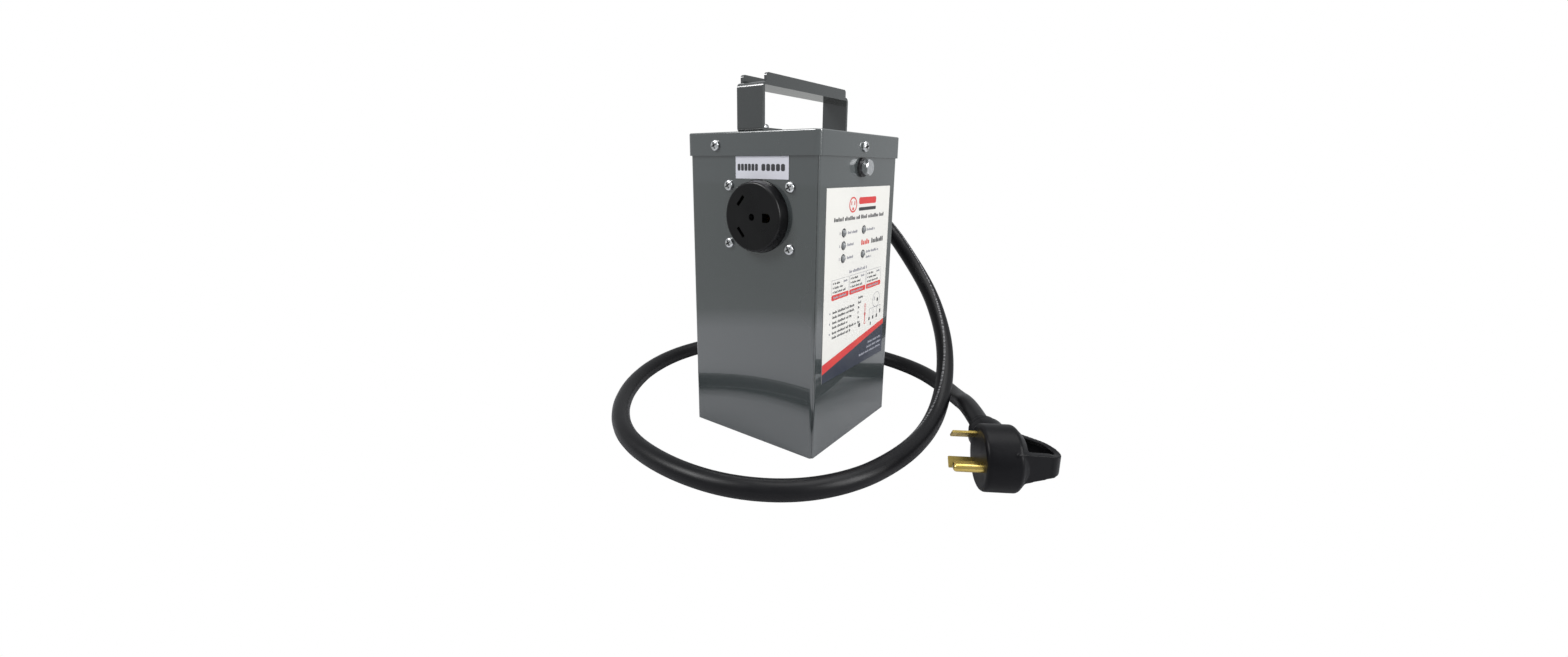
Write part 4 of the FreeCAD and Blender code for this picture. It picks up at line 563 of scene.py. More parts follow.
CAD_FINISHES: dict[Finish, tuple[str, ...]] = {
    PAINT: ("enclosure_shell", "base_pan", "lid"),
    HANDLE_PAINT: ("carry_handle",),
    ZINC: ("lid_screws", "handle_screws", "handle_nuts", "outlet_mounting_screws", "outlet_mounting_nuts",
           "ground_bolt", "ground_spring_washer", "ground_nut", "base_studs", "core_bolts", "core_nuts",
           "board_screws", "board_standoffs", "outlet_terminal_screws", "outlet_centre_screw"),
    DARK_PLATE: ("ground_flat_washer",),
    PLAIN_STEEL: ("core_frames", "outlet_yoke", "relay_yoke", "relay_core_pin", "relay_armature"),
    LAMINATIONS: ("transformer_core",),
    OUTLET_BLACK: ("outlet_face", "outlet_rear_housing", "gland_body", "gland_cap_nut", "gland_locknut",
                   "relay_base"),
    BRASS: ("outlet_blade_contacts", "outlet_ground_contact", "plug_blades", "plug_ground_pin",
            "relay_fixed_contact", "relay_return_spring", "ground_ring_terminal"),
    COPPER: ("main_winding", "boost_winding", "relay_coil"),
    LABEL_WHITE: ("status_label",),
    OUTPUT_WHITE: ("output_label",),
    LENS: ("status_lamps",),
    SOLDER_MASK: ("control_board", "lamp_board"),
    PALE_PLASTIC: ("winding_bobbin", "relay_bobbin", "thermal_fuse"),
    BLUE_EPOXY: ("surge_varistors", "relay_cover"),
    GREEN_PLASTIC: ("terminal_block",),
    JACKET: ("cord_tail",),
    SEAL_RUBBER: ("gland_seal",),
    BLACK_WIRE: ("power_wires",),
    GREEN_WIRE: ("ground_wires",),
}


def dress_cad_parts() -> None:
    """Give every carried-over part the finish that its real material has."""
    for finish, nodes in CAD_FINISHES.items():
        for name in nodes:
            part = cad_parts[name]
            if not part.material_slots:
                part.data.materials.append(finish.material())
            for place in part.material_slots:
                place.material = finish.material()
            log.info("%s has %s", name, finish.name)


def mesh_piece(name: str, shape: bmesh.types.BMesh, material: bpy.types.Material,
               smooth: bool = True) -> bpy.types.Object:
    """Turn a bmesh into a finished object.

    Args:
        name: the piece's name.
        shape: its shape, which is freed.
        material: its material.
        smooth: shade its faces smooth.

    Returns:
        The new object, linked to the scene.
    """
    bmesh.ops.recalc_face_normals(shape, faces=shape.faces)
    mesh = bpy.data.meshes.new(name)
    shape.to_mesh(mesh)
    shape.free()
    mesh.materials.append(material)
    for face in mesh.polygons:
        face.use_smooth = smooth
    made = bpy.data.objects.new(name, mesh)
    bpy.context.scene.collection.objects.link(made)
    return made


def settle(piece: bpy.types.Object) -> bpy.types.Object:
    """Let a piece ride on the box.

    Args:
        piece: the piece.

    Returns:
        The same piece.
    """
    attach(piece, BOX_BODY)
    log.info("%s rides on %s", piece.name, BOX_BODY)
    return piece


def bake_modifiers(piece: bpy.types.Object) -> None:
    """Keep a piece's modified shape as its own mesh.

    Args:
        piece: the piece, whose modifiers are then gone.
    """
    graph = bpy.context.evaluated_depsgraph_get()
    settled = bpy.data.meshes.new_from_object(piece.evaluated_get(graph), depsgraph=graph)
    old = piece.data
    piece.modifiers.clear()
    piece.data = settled
    settled.name = piece.name
    bpy.data.meshes.remove(old)
    for face in settled.polygons:
        face.use_smooth = True


# ---------------------------------------------------------------- printed labels
class Ink(Enum):
    """Inks of the printed labels."""

    BLACK = INK_BLACK
    GREY = INK_GREY
    RED = INK_RED
    NAVY = INK_NAVY
    PALE = INK_PALE


@dataclass(frozen=True)
class Bar:
    """One printed bar with eased corners, in millimetres.

    Attributes:
        ink: its ink.
        left: its left end.
        right: its right end.
        low: its lower edge.
        high: its upper edge.
    """

    ink: Ink
    left: float
    right: float
    low: float
    high: float


@dataclass(frozen=True)
class Ring:
    """One printed ring or, with no inner radius, dot, in millimetres.

    Attributes:
        ink: its ink.
        centre: its centre.
        outer: its outer radius.
        inner: its inner radius.
        sides: how many sides make it round.
    """

    ink: Ink
    centre: Flat
    outer: float
    inner: float = 0.0
    sides: int = 28


@dataclass(frozen=True)
class Stroke:
    """One printed straight line, in millimetres.

    Attributes:
        ink: its ink.
        start: one end.
        end: the other end.
        width: its width.
    """

    ink: Ink
    start: Flat
    end: Flat
    width: float


@dataclass(frozen=True)
class Words:
    """One line of plain blocks in the rhythm of small print, in millimetres.

    Attributes:
        ink: its ink.
        left: where it starts.
        right: where it has to end.
        base: its base line.
        height: height of the tallest block.
        rhythm: how many blocks each group has.
        block: a block's width as a share of the height.
        gap: the space between blocks as a share of the height.
        space: the extra space between groups as a share of the height.
        low: height of a low block as a share of the height.
    """

    ink: Ink
    left: float
    right: float
    base: float
    height: float
    rhythm: tuple[int, ...]
    block: float = 0.46
    gap: float = 0.17
    space: float = 0.5
    low: float = 0.72

    def bars(self) -> list[Bar]:
        """Break the line into its blocks.

        Returns:
            The blocks, tall and low ones in turn.
        """
        made = []
        at = self.left
        group = 0
        count = 0
        while at + self.height * self.block <= self.right:
            tall = self.height if (count * 5 + group * 3) % 7 < 3 else self.height * self.low
            made.append(Bar(self.ink, at, at + self.height * self.block, self.base, self.base + tall))
            at += self.height * self.block + self.height * self.gap
            count += 1
            if count >= self.rhythm[group % len(self.rhythm)]:
                at += self.height * self.space
                group += 1
                count = 0
        return made


Mark = Bar | Ring | Stroke | Words


@dataclass
class PrintSheet:
    """Flat print that lies on a label, drawn across and up in millimetres.

    Attributes:
        name: start of its pieces' names.
        origin: a point of the label's face, in metres.
        across: the way that the print reads.
        outward: the way that the label looks.
        lift: height of the ink over the label, in metres.
        corner_ease: how much of a bar's shorter side each eased corner takes.
        layers: the shapes drawn so far, by ink.
    """

    name: str
    origin: Vector
    across: Vector
    outward: Vector
    lift: float = 0.00006
    corner_ease: float = 0.22
    layers: dict[Ink, bmesh.types.BMesh] = field(default_factory=dict)

    def place(self, point: Flat, level: int) -> Vector:
        """Put a drawn point in space.

        Args:
            point: across and up, in millimetres.
            level: how many layers of ink lie under it.

        Returns:
            The point in metres.
        """
        up = Vector((0.0, 0.0, point[1] * MM))
        return self.origin + self.across * (point[0] * MM) + up + self.outward * (self.lift * (level + 1))

    def shape(self, ink: Ink, corners: list[Flat], level: int = 0) -> None:
        """Draw one filled shape.

        Args:
            ink: its ink.
            corners: its corners in order.
            level: how many layers of ink lie under it.
        """
        if ink not in self.layers:
            self.layers[ink] = bmesh.new()
        layer = self.layers[ink]
        layer.faces.new([layer.verts.new(self.place(corner, level)) for corner in corners])

    def bar(self, mark: Bar, level: int) -> None:
        """Draw a bar with its corners eased.

        Args:
            mark: the bar.
            level: how many layers of ink lie under it.
        """
        ease = min(mark.right - mark.left, mark.high - mark.low) * self.corner_ease
        left, right, low, high = mark.left, mark.right, mark.low, mark.high
        self.shape(mark.ink, [(left + ease, low), (right - ease, low), (right, low + ease),
                              (right, high - ease), (right - ease, high), (left + ease, high),
                              (left, high - ease), (left, low + ease)], level)

    def ring(self, mark: Ring, level: int) -> None:
        """Draw a ring as a row of flat pieces.

        Args:
            mark: the ring.
            level: how many layers of ink lie under it.
        """
        for step in range(mark.sides):
            a = 2.0 * math.pi * step / mark.sides
            b = 2.0 * math.pi * (step + 1) / mark.sides
            turns = ((mark.outer, a), (mark.outer, b), (mark.inner, b), (mark.inner, a))
            self.shape(mark.ink, [(mark.centre[0] + radius * math.cos(angle),
                                   mark.centre[1] + radius * math.sin(angle))
                                  for radius, angle in turns], level)

    def stroke(self, mark: Stroke, level: int) -> None:
        """Draw a straight line.

        Args:
            mark: the line.
            level: how many layers of ink lie under it.
        """
        start, end = mark.start, mark.end
        run = Vector((end[0] - start[0], end[1] - start[1]))
        side = Vector((-run.y, run.x)).normalized() * (mark.width / 2.0)
        self.shape(mark.ink, [(start[0] + side.x, start[1] + side.y), (end[0] + side.x, end[1] + side.y),
                              (end[0] - side.x, end[1] - side.y),
                              (start[0] - side.x, start[1] - side.y)], level)

    def draw(self, marks: tuple[Mark, ...], level: int = 0) -> None:
        """Draw marks in order.

        Args:
            marks: bars, rings, strokes and lines of words.
            level: how many layers of ink lie under them.
        """
        for mark in marks:
            if isinstance(mark, Words):
                self.draw(tuple(mark.bars()), level)
            elif isinstance(mark, Bar):
                self.bar(mark, level)
            elif isinstance(mark, Ring):
                self.ring(mark, level)
            else:
                self.stroke(mark, level)

    def finish(self, slot: str) -> list[bpy.types.Object]:
        """Make one piece of each ink.

        Args:
            slot: not used.

        Returns:
            The pieces.
        """
        made = []
        for ink, layer in self.layers.items():
            piece = mesh_piece(self.name + "_" + ink.name.lower(), layer, ink.value.material(), smooth=False)
            made.append(settle(piece))
        return made


@dataclass
class StatusLabel:
    """Print of the tall label round the lamps: a symbol, captions, a table and a coloured foot.

    Attributes:
        lamps: across and up of each lamp.
        lamp_ring: inner and outer radius of the ring printed round a lamp.
        number_left: left end of the numbers beside the left-hand lamps.
        number_size: width and height of such a number.
        heading: the outlet symbol, two bars beside it and the line under them.
        captions: the lamps' captions and the rating mark between two lamps.
        table_title: the line over the table.
        columns: left and right edge of each column.
        table_edges: foot, low and high edge of the table.
        table_rule: width of the table's lines.
        row_top: base line of the table's first row.
        row_pitch: distance from one row to the next.
        row_height: height of the rows' words.
        row_words: how many blocks each group of a row has.
        row_start: where a row's words start, from the column's left edge.
        row_ends: where each row's words end, from the column's right edge.
        row_dot: place of the dot before a row, from the column's left edge and the base line.
        row_dot_radius: that dot's radius.
        first_row_value: where the first row's grey word starts and ends, from the right edge.
        footer_inset: how far the footer's words stay from its ends.
        footer_rise: height of their base line over the footer's low edge.
        footer_height: their height.
        note_left: left end of the notes.
        note_ends: right end of each note line.
        note_top: base line of the first note.
        note_pitch: distance from one note line to the next.
        note_break: extra distance after every second line.
        note_height: height of the notes' and the small marks' blocks.
        note_dot: place of the dot before a note, from the note's start.
        note_dot_radius: that dot's radius.
        mark_left: left end of the column of small marks.
        mark_widths: width of each of them.
        mark_top: base line of the first mark.
        mark_pitch: distance from one mark to the next.
        gauge: the upright bar with its three rings.
        hook_up: a round outlet joined by lines to small blocks.
        edges: left, right and low edge of the foot.
        foot_left: low and high edge of the coloured band at the left.
        foot_right: low and high edge of the coloured band at the right.
        foot_words: left end of each pale line in the foot.
        foot_end: where they have to end.
        foot_top: base line of the first pale line.
        foot_pitch: distance from one pale line to the next.
        foot_height: height of their blocks.
    """

    lamps: tuple[Flat, ...] = ((-25.0, 178.0), (-25.0, 168.0), (-25.0, 157.8), (7.5, 178.0), (7.5, 157.8))
    lamp_ring: Flat = (3.05, 3.55)
    number_left: float = -31.4
    number_size: Flat = (0.8, 2.4)
    heading: tuple[Mark, ...] = (
        Ring(Ink.RED, (-12.0, 199.2), 6.2, 5.0),
        Bar(Ink.RED, -15.0, -13.8, 198.8, 202.0),
        Bar(Ink.RED, -10.2, -9.0, 198.8, 202.0),
        Ring(Ink.RED, (-12.0, 196.0), 1.3, sides=16),
        Bar(Ink.RED, -2.5, 27.0, 199.2, 204.6),
        Bar(Ink.BLACK, -2.5, 27.0, 193.9, 196.6),
        Words(Ink.BLACK, -40.4, 43.0, 187.3, 3.3, (7, 8, 3, 5, 9)),
    )
    captions: tuple[Mark, ...] = (
        Words(Ink.GREY, -18.9, -2.5, 176.6, 2.3, (4, 6)),
        Words(Ink.GREY, -18.9, -7.4, 166.9, 2.3, (7,)),
        Words(Ink.GREY, -18.9, -8.6, 156.6, 2.3, (7,)),
        Words(Ink.GREY, 13.1, 28.0, 176.6, 2.3, (8,)),
        Words(Ink.GREY, 13.1, 36.4, 158.0, 2.3, (5, 7)),
        Words(Ink.GREY, 13.1, 25.0, 153.4, 2.3, (5, 1)),
        Words(Ink.RED, 4.0, 20.0, 165.4, 4.6, (9,)),
        Words(Ink.BLACK, 21.7, 44.3, 165.4, 4.4, (9,)),
    )
    table_title: Mark = Words(Ink.GREY, -14.2, 16.4, 144.4, 2.6, (3, 9))
    columns: tuple[Flat, ...] = ((-41.0, -14.2), (-13.0, 14.6), (15.8, 43.0))
    table_edges: tuple[float, float, float] = (126.0, 130.4, 142.2)
    table_rule: float = 0.25
    row_top: float = 138.6
    row_pitch: float = 3.5
    row_height: float = 1.9
    row_words: tuple[tuple[int, ...], ...] = ((2, 5), (6, 5), (4, 5))
    row_start: float = 4.4
    row_ends: tuple[float, ...] = (14.0, 9.0, 4.0)
    row_dot: Flat = (2.4, 0.9)
    row_dot_radius: float = 0.75
    first_row_value: Flat = (8.5, 1.2)
    footer_inset: float = 3.0
    footer_rise: float = 1.2
    footer_height: float = 2.0
    note_left: float = -38.4
    note_ends: tuple[float, ...] = (-2.2, -1.6, -6.4, -13.2, 0.8, -8.8)
    note_top: float = 115.0
    note_pitch: float = 3.9
    note_break: float = 0.6
    note_height: float = 2.2
    note_dot: Flat = (-4.0, 1.0)
    note_dot_radius: float = 0.8
    mark_left: float = 3.0
    mark_widths: tuple[float, ...] = (8.0, 5.6, 3.4, 1.6, 3.6, 4.2)
    mark_top: float = 119.8
    mark_pitch: float = 4.3
    gauge: tuple[Mark, ...] = (
        Bar(Ink.BLACK, 4.8, 8.2, 94.4, 97.8),
        Bar(Ink.RED, 15.4, 16.6, 98.0, 110.6),
        Ring(Ink.RED, (16.0, 96.4), 1.5, 0.9, 16),
        Ring(Ink.RED, (16.0, 104.0), 1.5, 0.9, 16),
        Ring(Ink.RED, (16.0, 111.8), 1.5, 0.9, 16),
    )
    hook_up: tuple[Mark, ...] = (
        Ring(Ink.GREY, (36.4, 113.4), 7.0, 6.6),
        Bar(Ink.BLACK, 37.6, 40.2, 111.2, 114.6),
        Bar(Ink.GREY, 32.4, 33.4, 113.0, 116.6),
        Stroke(Ink.GREY, (24.4, 106.8), (24.4, 99.8), 0.35),
        Bar(Ink.BLACK, 23.2, 25.6, 96.4, 99.6),
        Stroke(Ink.GREY, (31.4, 106.8), (31.4, 99.8), 0.35),
        Bar(Ink.BLACK, 30.2, 32.6, 96.4, 99.6),
        Stroke(Ink.GREY, (38.4, 106.8), (38.4, 99.8), 0.35),
        Bar(Ink.BLACK, 37.2, 39.6, 96.4, 99.6),
        Stroke(Ink.GREY, (24.4, 106.8), (45.0, 106.8), 0.35),
        Stroke(Ink.GREY, (45.0, 106.8), (45.0, 103.4), 0.35),
        Bar(Ink.BLACK, 43.8, 46.2, 99.4, 103.2),
        Bar(Ink.BLACK, 26.6, 28.2, 91.6, 94.4),
    )
    edges: tuple[float, float, float] = (-52.0, 52.5, 60.5)
    foot_left: Flat = (68.0, 76.0)
    foot_right: Flat = (87.6, 92.4)
    foot_words: tuple[float, ...] = (24.0, 22.0, 8.5)
    foot_end: float = 49.0
    foot_top: float = 75.4
    foot_pitch: float = 4.2
    foot_height: float = 2.1

    def build(self) -> list[bpy.types.Object]:
        """Print the label.

        Returns:
            The print's pieces.
        """
        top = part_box("status_label")[1]
        sheet = PrintSheet("status_print", Vector((top.x, 0.0, 0.0)), Vector((0.0, 1.0, 0.0)),
                           Vector((1.0, 0.0, 0.0)))
        sheet.draw(self.heading)
        self.draw_lamps(sheet)
        self.draw_table(sheet)
        self.draw_notes(sheet)
        sheet.draw(self.hook_up)
        self.draw_foot(sheet)
        return sheet.finish("white_label")

    def draw_lamps(self, sheet: PrintSheet) -> None:
        """Draw the lamps' rings, the numbers beside the left-hand ones and the captions.

        Args:
            sheet: the label's print.
        """
        inner, outer = self.lamp_ring
        sheet.draw(tuple(Ring(Ink.BLACK, lamp, outer, inner) for lamp in self.lamps))
        wide, tall = self.number_size
        for _, up in [lamp for lamp in self.lamps if lamp[0] < 0.0]:
            sheet.draw((Bar(Ink.GREY, self.number_left, self.number_left + wide, up - tall / 2.0,
                            up + tall / 2.0),))
        sheet.draw(self.captions)

    def draw_table(self, sheet: PrintSheet) -> None:
        """Draw the heading and the table of three columns with coloured footers.

        Args:
            sheet: the label's print.
        """
        sheet.draw((self.table_title,))
        foot, low, high = self.table_edges
        for left, right in self.columns:
            sheet.draw((Stroke(Ink.GREY, (left, high), (right, high), self.table_rule),
                        Stroke(Ink.GREY, (left, high), (left, low), self.table_rule),
                        Stroke(Ink.GREY, (right, high), (right, low), self.table_rule),
                        Bar(Ink.RED, left, right, foot, low)))
            sheet.draw((Words(Ink.PALE, left + self.footer_inset, right - self.footer_inset,
                              foot + self.footer_rise, self.footer_height, (6, 9)),), level=1)
            for row, (rhythm, end) in enumerate(zip(self.row_words, self.row_ends)):
                base = self.row_top - self.row_pitch * row
                dot = (left + self.row_dot[0], base + self.row_dot[1])
                sheet.draw((Ring(Ink.BLACK, dot, self.row_dot_radius, sides=10),
                            Words(Ink.BLACK, left + self.row_start, right - end, base, self.row_height,
                                  rhythm)))
            start, end = self.first_row_value
            sheet.draw((Words(Ink.GREY, right - start, right - end, self.row_top, self.row_height,
                              (5,)),))

    def draw_notes(self, sheet: PrintSheet) -> None:
        """Draw the notes' lines with a dot before every second one, the small marks and the gauge.

        Args:
            sheet: the label's print.
        """
        for line, end in enumerate(self.note_ends):
            base = self.note_top - self.note_pitch * line - (line // 2) * self.note_break
            sheet.draw((Words(Ink.BLACK, self.note_left, end, base, self.note_height, (5, 9, 3, 6)),))
            if line % 2 == 0:
                dot = (self.note_left + self.note_dot[0], base + self.note_dot[1])
                sheet.draw((Ring(Ink.GREY, dot, self.note_dot_radius, sides=10),))
        for row, wide in enumerate(self.mark_widths):
            sheet.draw((Words(Ink.BLACK, self.mark_left, self.mark_left + wide,
                              self.mark_top - self.mark_pitch * row, self.note_height, (9,)),))
        sheet.draw(self.gauge)

    def draw_foot(self, sheet: PrintSheet) -> None:
        """Draw the rising band and the dark corner below it, with a few pale lines.

        Args:
            sheet: the label's print.
        """
        left, right, low = self.edges
        sheet.shape(Ink.NAVY, [(left, low), (right, low), (right, self.foot_right[0]),
                               (left, self.foot_left[0])])
        sheet.shape(Ink.RED, [(left, self.foot_left[0]), (right, self.foot_right[0]),
                              (right, self.foot_right[1]), (left, self.foot_left[1])])
        for line, start in enumerate(self.foot_words):
            base = self.foot_top - self.foot_pitch * line
            sheet.draw((Words(Ink.PALE, start, self.foot_end, base, self.foot_height, (7, 5, 9)),),
                       level=1)


@dataclass
class OutputLabel:
    """Print of the small label over the outlet: two groups of bold blocks.

    Attributes:
        groups: left end, right end and number of blocks of each group.
        base: the groups' base line.
        height: the blocks' height.
        block: a block's width as a share of its place.
    """

    groups: tuple[tuple[float, float, int], ...] = ((-11.4, 9.6, 6), (12.4, 35.4, 5))
    base: float = 224.6
    height: float = 5.2
    block: float = 0.80

    def build(self) -> list[bpy.types.Object]:
        """Print the label.

        Returns:
            The print's pieces.
        """
        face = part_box("output_label")[0]
        sheet = PrintSheet("output_print", Vector((0.0, face.y, 0.0)), Vector((1.0, 0.0, 0.0)),
                           Vector((0.0, -1.0, 0.0)))
        for left, right, count in self.groups:
            pitch = (right - left) / count
            starts = [left + pitch * step for step in range(count)]
            sheet.draw(tuple(Bar(Ink.BLACK, start, start + pitch * self.block, self.base,
                                 self.base + self.height) for start in starts))
        return sheet.finish("white_label")


# ---------------------------------------------------------------- cord and plug
@dataclass
class SupplyCord:
    """Heavy three-core cord, out of the gland, down, round the box on the ground and to the plug.

    Attributes:
        diameter: over its jacket, in metres.
        length: its real length, in metres.
        route: the points that it bends towards, in metres.
    """

    diameter: float = 0.016
    length: float = 1.425
    route: tuple[Point, ...] = (
        (-0.034, 0.090, 0.205),
        (-0.034, 0.126, 0.205),
        (-0.020, 0.163, 0.189),
        (0.004, 0.184, 0.160),
        (0.034, 0.184, 0.124),
        (0.062, 0.167, 0.098),
        (0.083, 0.146, 0.076),
        (0.101, 0.120, 0.055),
        (0.114, 0.090, 0.032),
        (0.122, 0.054, 0.014),
        (0.126, 0.010, 0.008),
        (0.124, -0.036, 0.008),
        (0.112, -0.082, 0.008),
        (0.084, -0.120, 0.008),
        (0.040, -0.144, 0.008),
        (-0.014, -0.150, 0.008),
        (-0.068, -0.141, 0.008),
        (-0.114, -0.114, 0.008),
        (-0.152, -0.074, 0.008),
        (-0.180, -0.026, 0.008),
        (-0.193, 0.028, 0.008),
        (-0.186, 0.082, 0.008),
        (-0.156, 0.126, 0.008),
        (-0.108, 0.158, 0.008),
        (-0.052, 0.173, 0.008),
        (0.006, 0.173, 0.008),
        (0.058, 0.160, 0.008),
        (0.099, 0.132, 0.008),
        (0.126, 0.099, 0.012),
        (0.146076, 0.063204, 0.024),
        (0.165153, 0.032674, 0.024),
    )

    def build(self) -> bpy.types.Object:
        """Make the cord as one smooth curve.

        Returns:
            The cord.
        """
        line = bpy.data.curves.new("supply_cord", "CURVE")
        line.dimensions = "3D"
        line.resolution_u = 10
        line.bevel_depth = self.diameter / 2.0
        line.bevel_resolution = 7
        line.use_fill_caps = True
        spline = line.splines.new("NURBS")
        spline.points.add(len(self.route) - 1)
        for spot, point in zip(spline.points, self.route):
            spot.co = (*point, 1.0)
        spline.order_u = 3
        spline.use_endpoint_u = True
        line.materials.append(JACKET.material())
        cord = bpy.data.objects.new("supply_cord", line)
        bpy.context.scene.collection.objects.link(cord)
        settle(cord)
        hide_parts("power_cord")
        return cord


@dataclass
class TrailerPlug:
    """Round plug with a flat loop to pull it by, lying on its side on the ground.

    Attributes:
        face: centre of the face that the pins stand on.
        heading: the way that the pins point, in degrees from +X.
        radius: of the body.
        body: length of the body.
        edge: rounding of the face's edge.
        edge_steps: how many steps make that edge round.
        shoulder: slope at the back of the body.
        shoulder_ease: how far the slope's outer corner is broken.
        back_step: width of the low step round the back's flat middle.
        back_rise: height of that step.
        loop_bury: how far the loop's roots reach into the body.
        loop_reach: how far the loop stands out behind the body.
        loop_root: outer face of each arm at its root, from the axis.
        loop_shoulder: from the face back to where the loop's edges begin to slope.
        loop_top: height of the loop's upper edge at the shoulder and at the tip.
        loop_under: depth of the loop's lower edge at the shoulder and at the tip.
        loop_wall: thickness of the loop's rims.
        loop_relief: how much thinner the band is between its rims.
        loop_tip: outer radius of the loop's tip.
        loop_tip_steps: how many steps make the tip round.
        loop_rim: height of the raised rim along each edge of the band.
        boot_setback: from the face back to the boot's axis.
        boot_bury: how far the boot starts inside the body's side.
        knuckles: radius and far end of each of the boot's knuckles.
        knuckle_ease: rounding of a knuckle's edges.
        knuckle_steps: how many steps make such an edge round.
        groove: half the width of the groove between two knuckles.
        neck: depth of that groove.
        voxel: size of the cells that blend body and loop into one moulding.
    """

    face: Vector = field(default_factory=lambda: Vector((0.1802, -0.0216, 0.024)))
    heading: float = 212.0
    radius: float = 0.024
    body: float = 0.030
    edge: float = 0.003
    edge_steps: int = 6
    shoulder: float = 0.006
    shoulder_ease: float = 0.0008
    back_step: float = 0.004
    back_rise: float = 0.0003
    loop_bury: float = 0.004
    loop_reach: float = 0.0268
    loop_root: float = 0.021
    loop_shoulder: float = 0.028
    loop_top: Flat = (0.0146, 0.0064)
    loop_under: Flat = (0.0098, 0.0074)
    loop_wall: float = 0.005
    loop_relief: float = 0.0014
    loop_tip: float = 0.012
    loop_tip_steps: int = 28
    loop_rim: float = 0.0018
    boot_setback: float = 0.016
    boot_bury: float = 0.008
    knuckles: tuple[Flat, ...] = ((0.0142, 0.014), (0.0116, 0.023), (0.0092, 0.030))
    knuckle_ease: float = 0.0010
    knuckle_steps: int = 4
    groove: float = 0.0008
    neck: float = 0.0014
    voxel: float = 0.0006

    def stand(self) -> Matrix:
        """Placement of a shape drawn along +Z with its face at nought.

        Returns:
            The matrix that sets it down on the ground, pins towards the heading.
        """
        turn = math.radians(self.heading)
        outward = Vector((math.cos(turn), math.sin(turn), 0.0))
        across = Vector((-math.sin(turn), math.cos(turn), 0.0))
        up = Vector((0.0, 0.0, 1.0))
        rows = Matrix((across, up, outward)).transposed().to_4x4()
        return Matrix.Translation(self.face) @ rows

    @staticmethod
    def lathe(shape: bmesh.types.BMesh, profile: list[Flat], sides: int) -> list[bmesh.types.BMVert]:
        """Spin a profile about +Z into a closed solid.

        Args:
            shape: the bmesh that it goes into.
            profile: radius and height of each step, from one end to the other.
            sides: how many sides make it round.

        Returns:
            The new vertices.
        """
        rings = []
        for radius, height in profile:
            rings.append([shape.verts.new((radius * math.cos(2.0 * math.pi * step / sides),
                                           radius * math.sin(2.0 * math.pi * step / sides), height))
                          for step in range(sides)])
        for low, high in zip(rings, rings[1:]):
            for step in range(sides):
                after = (step + 1) % sides
                shape.faces.new((low[step], low[after], high[after], high[step]))
        shape.faces.new(list(reversed(rings[0])))
        shape.faces.new(rings[-1])
        return [vertex for ring in rings for vertex in ring]

    def body_profile(self) -> list[Flat]:
        """Outline of the body, back to front.

        Returns:
            Radius and height of each step.
        """
        core = self.radius - self.shoulder
        slope = self.shoulder - self.body
        profile = [(core - self.back_step, -self.body), (core, self.back_rise - self.body),
                   (self.radius - self.shoulder_ease, slope - self.shoulder_ease),
                   (self.radius, slope + self.shoulder_ease)]
        for step in range(self.edge_steps + 1):
            angle = 0.5 * math.pi * step / self.edge_steps
            profile.append((self.radius - self.edge + self.edge * math.cos(angle),
                            -self.edge + self.edge * math.sin(angle)))
        return profile

    def loop_outline(self, inset: float) -> list[Flat]:
        """Outline of one side of the loop, from the body round the tip and back.

        Args:
            inset: how far inside the loop's outer face the outline runs.

        Returns:
            Across and back of each point.
        """
        start = self.body - self.shoulder - self.loop_bury
        length = self.body + self.loop_reach - inset
        tip = self.loop_tip - inset
        root = self.loop_root - inset
        centre = length - tip
        lean = math.atan2(root - tip, centre - start) * 0.5
        outline = [(root, -start)]
        for step in range(self.loop_tip_steps + 1):
            angle = lean + (math.pi - 2.0 * lean) * step / self.loop_tip_steps
            outline.append((tip * math.cos(angle), -centre - tip * math.sin(angle)))
        outline.append((-root, -start))
        return outline

    def edge_height(self, ends: Flat, back: float) -> float:
        """Height of one of the loop's sloped edges.

        Args:
            ends: its height at the shoulder and at the tip.
            back: distance behind the face.

        Returns:
            Its height there.
        """
        share = (back - self.loop_shoulder) / (self.body + self.loop_reach - self.loop_shoulder)
        return ends[0] + (ends[1] - ends[0]) * min(max(share, 0.0), 1.0)

    def add_band(self, shape: bmesh.types.BMesh, wall: float, edges: tuple[bool, bool]) -> None:
        """Add a flat band that follows the loop, over its whole height or along one rim.

        Args:
            shape: the bmesh that it goes into.
            wall: its thickness.
            edges: whether it reaches the lower edge and whether it reaches the upper one.
        """
        outer = self.loop_outline(0.0)
        inner = self.loop_outline(wall)
        corners = []
        for (ox, oz), (ix, iz) in zip(outer, inner):
            high = self.edge_height(self.loop_top, -oz)
            low = -self.edge_height(self.loop_under, -oz)
            bottom = low if edges[0] else high - self.loop_rim
            top = high if edges[1] else low + self.loop_rim
            corners.append([shape.verts.new((ox, bottom, oz)), shape.verts.new((ox, top, oz)),
                            shape.verts.new((ix, top, iz)), shape.verts.new((ix, bottom, iz))])
        for here, after in zip(corners, corners[1:]):
            for side in range(4):
                turn = (side + 1) % 4
                shape.faces.new((here[side], here[turn], after[turn], after[side]))
        shape.faces.new(corners[0])
        shape.faces.new(list(reversed(corners[-1])))

    def build_body(self) -> bpy.types.Object:
        """Make the body and its loop as one moulding.

        Returns:
            The moulding.
        """
        shape = bmesh.new()
        self.lathe(shape, self.body_profile(), 96)
        self.add_band(shape, self.loop_wall - self.loop_relief, (True, True))
        self.add_band(shape, self.loop_wall, (False, True))
        self.add_band(shape, self.loop_wall, (True, False))
        piece = mesh_piece("plug_moulding", shape, PLUG_BLACK.material())
        melt = piece.modifiers.new("one_moulding", "REMESH")
        melt.mode = "VOXEL"
        melt.voxel_size = self.voxel
        melt.use_smooth_shade = True
        ease = piece.modifiers.new("eased", "SMOOTH")
        ease.factor = 0.5
        ease.iterations = 3
        bake_modifiers(piece)
        piece.data.transform(self.stand())
        settle(piece)
        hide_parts("plug_body")
        return piece

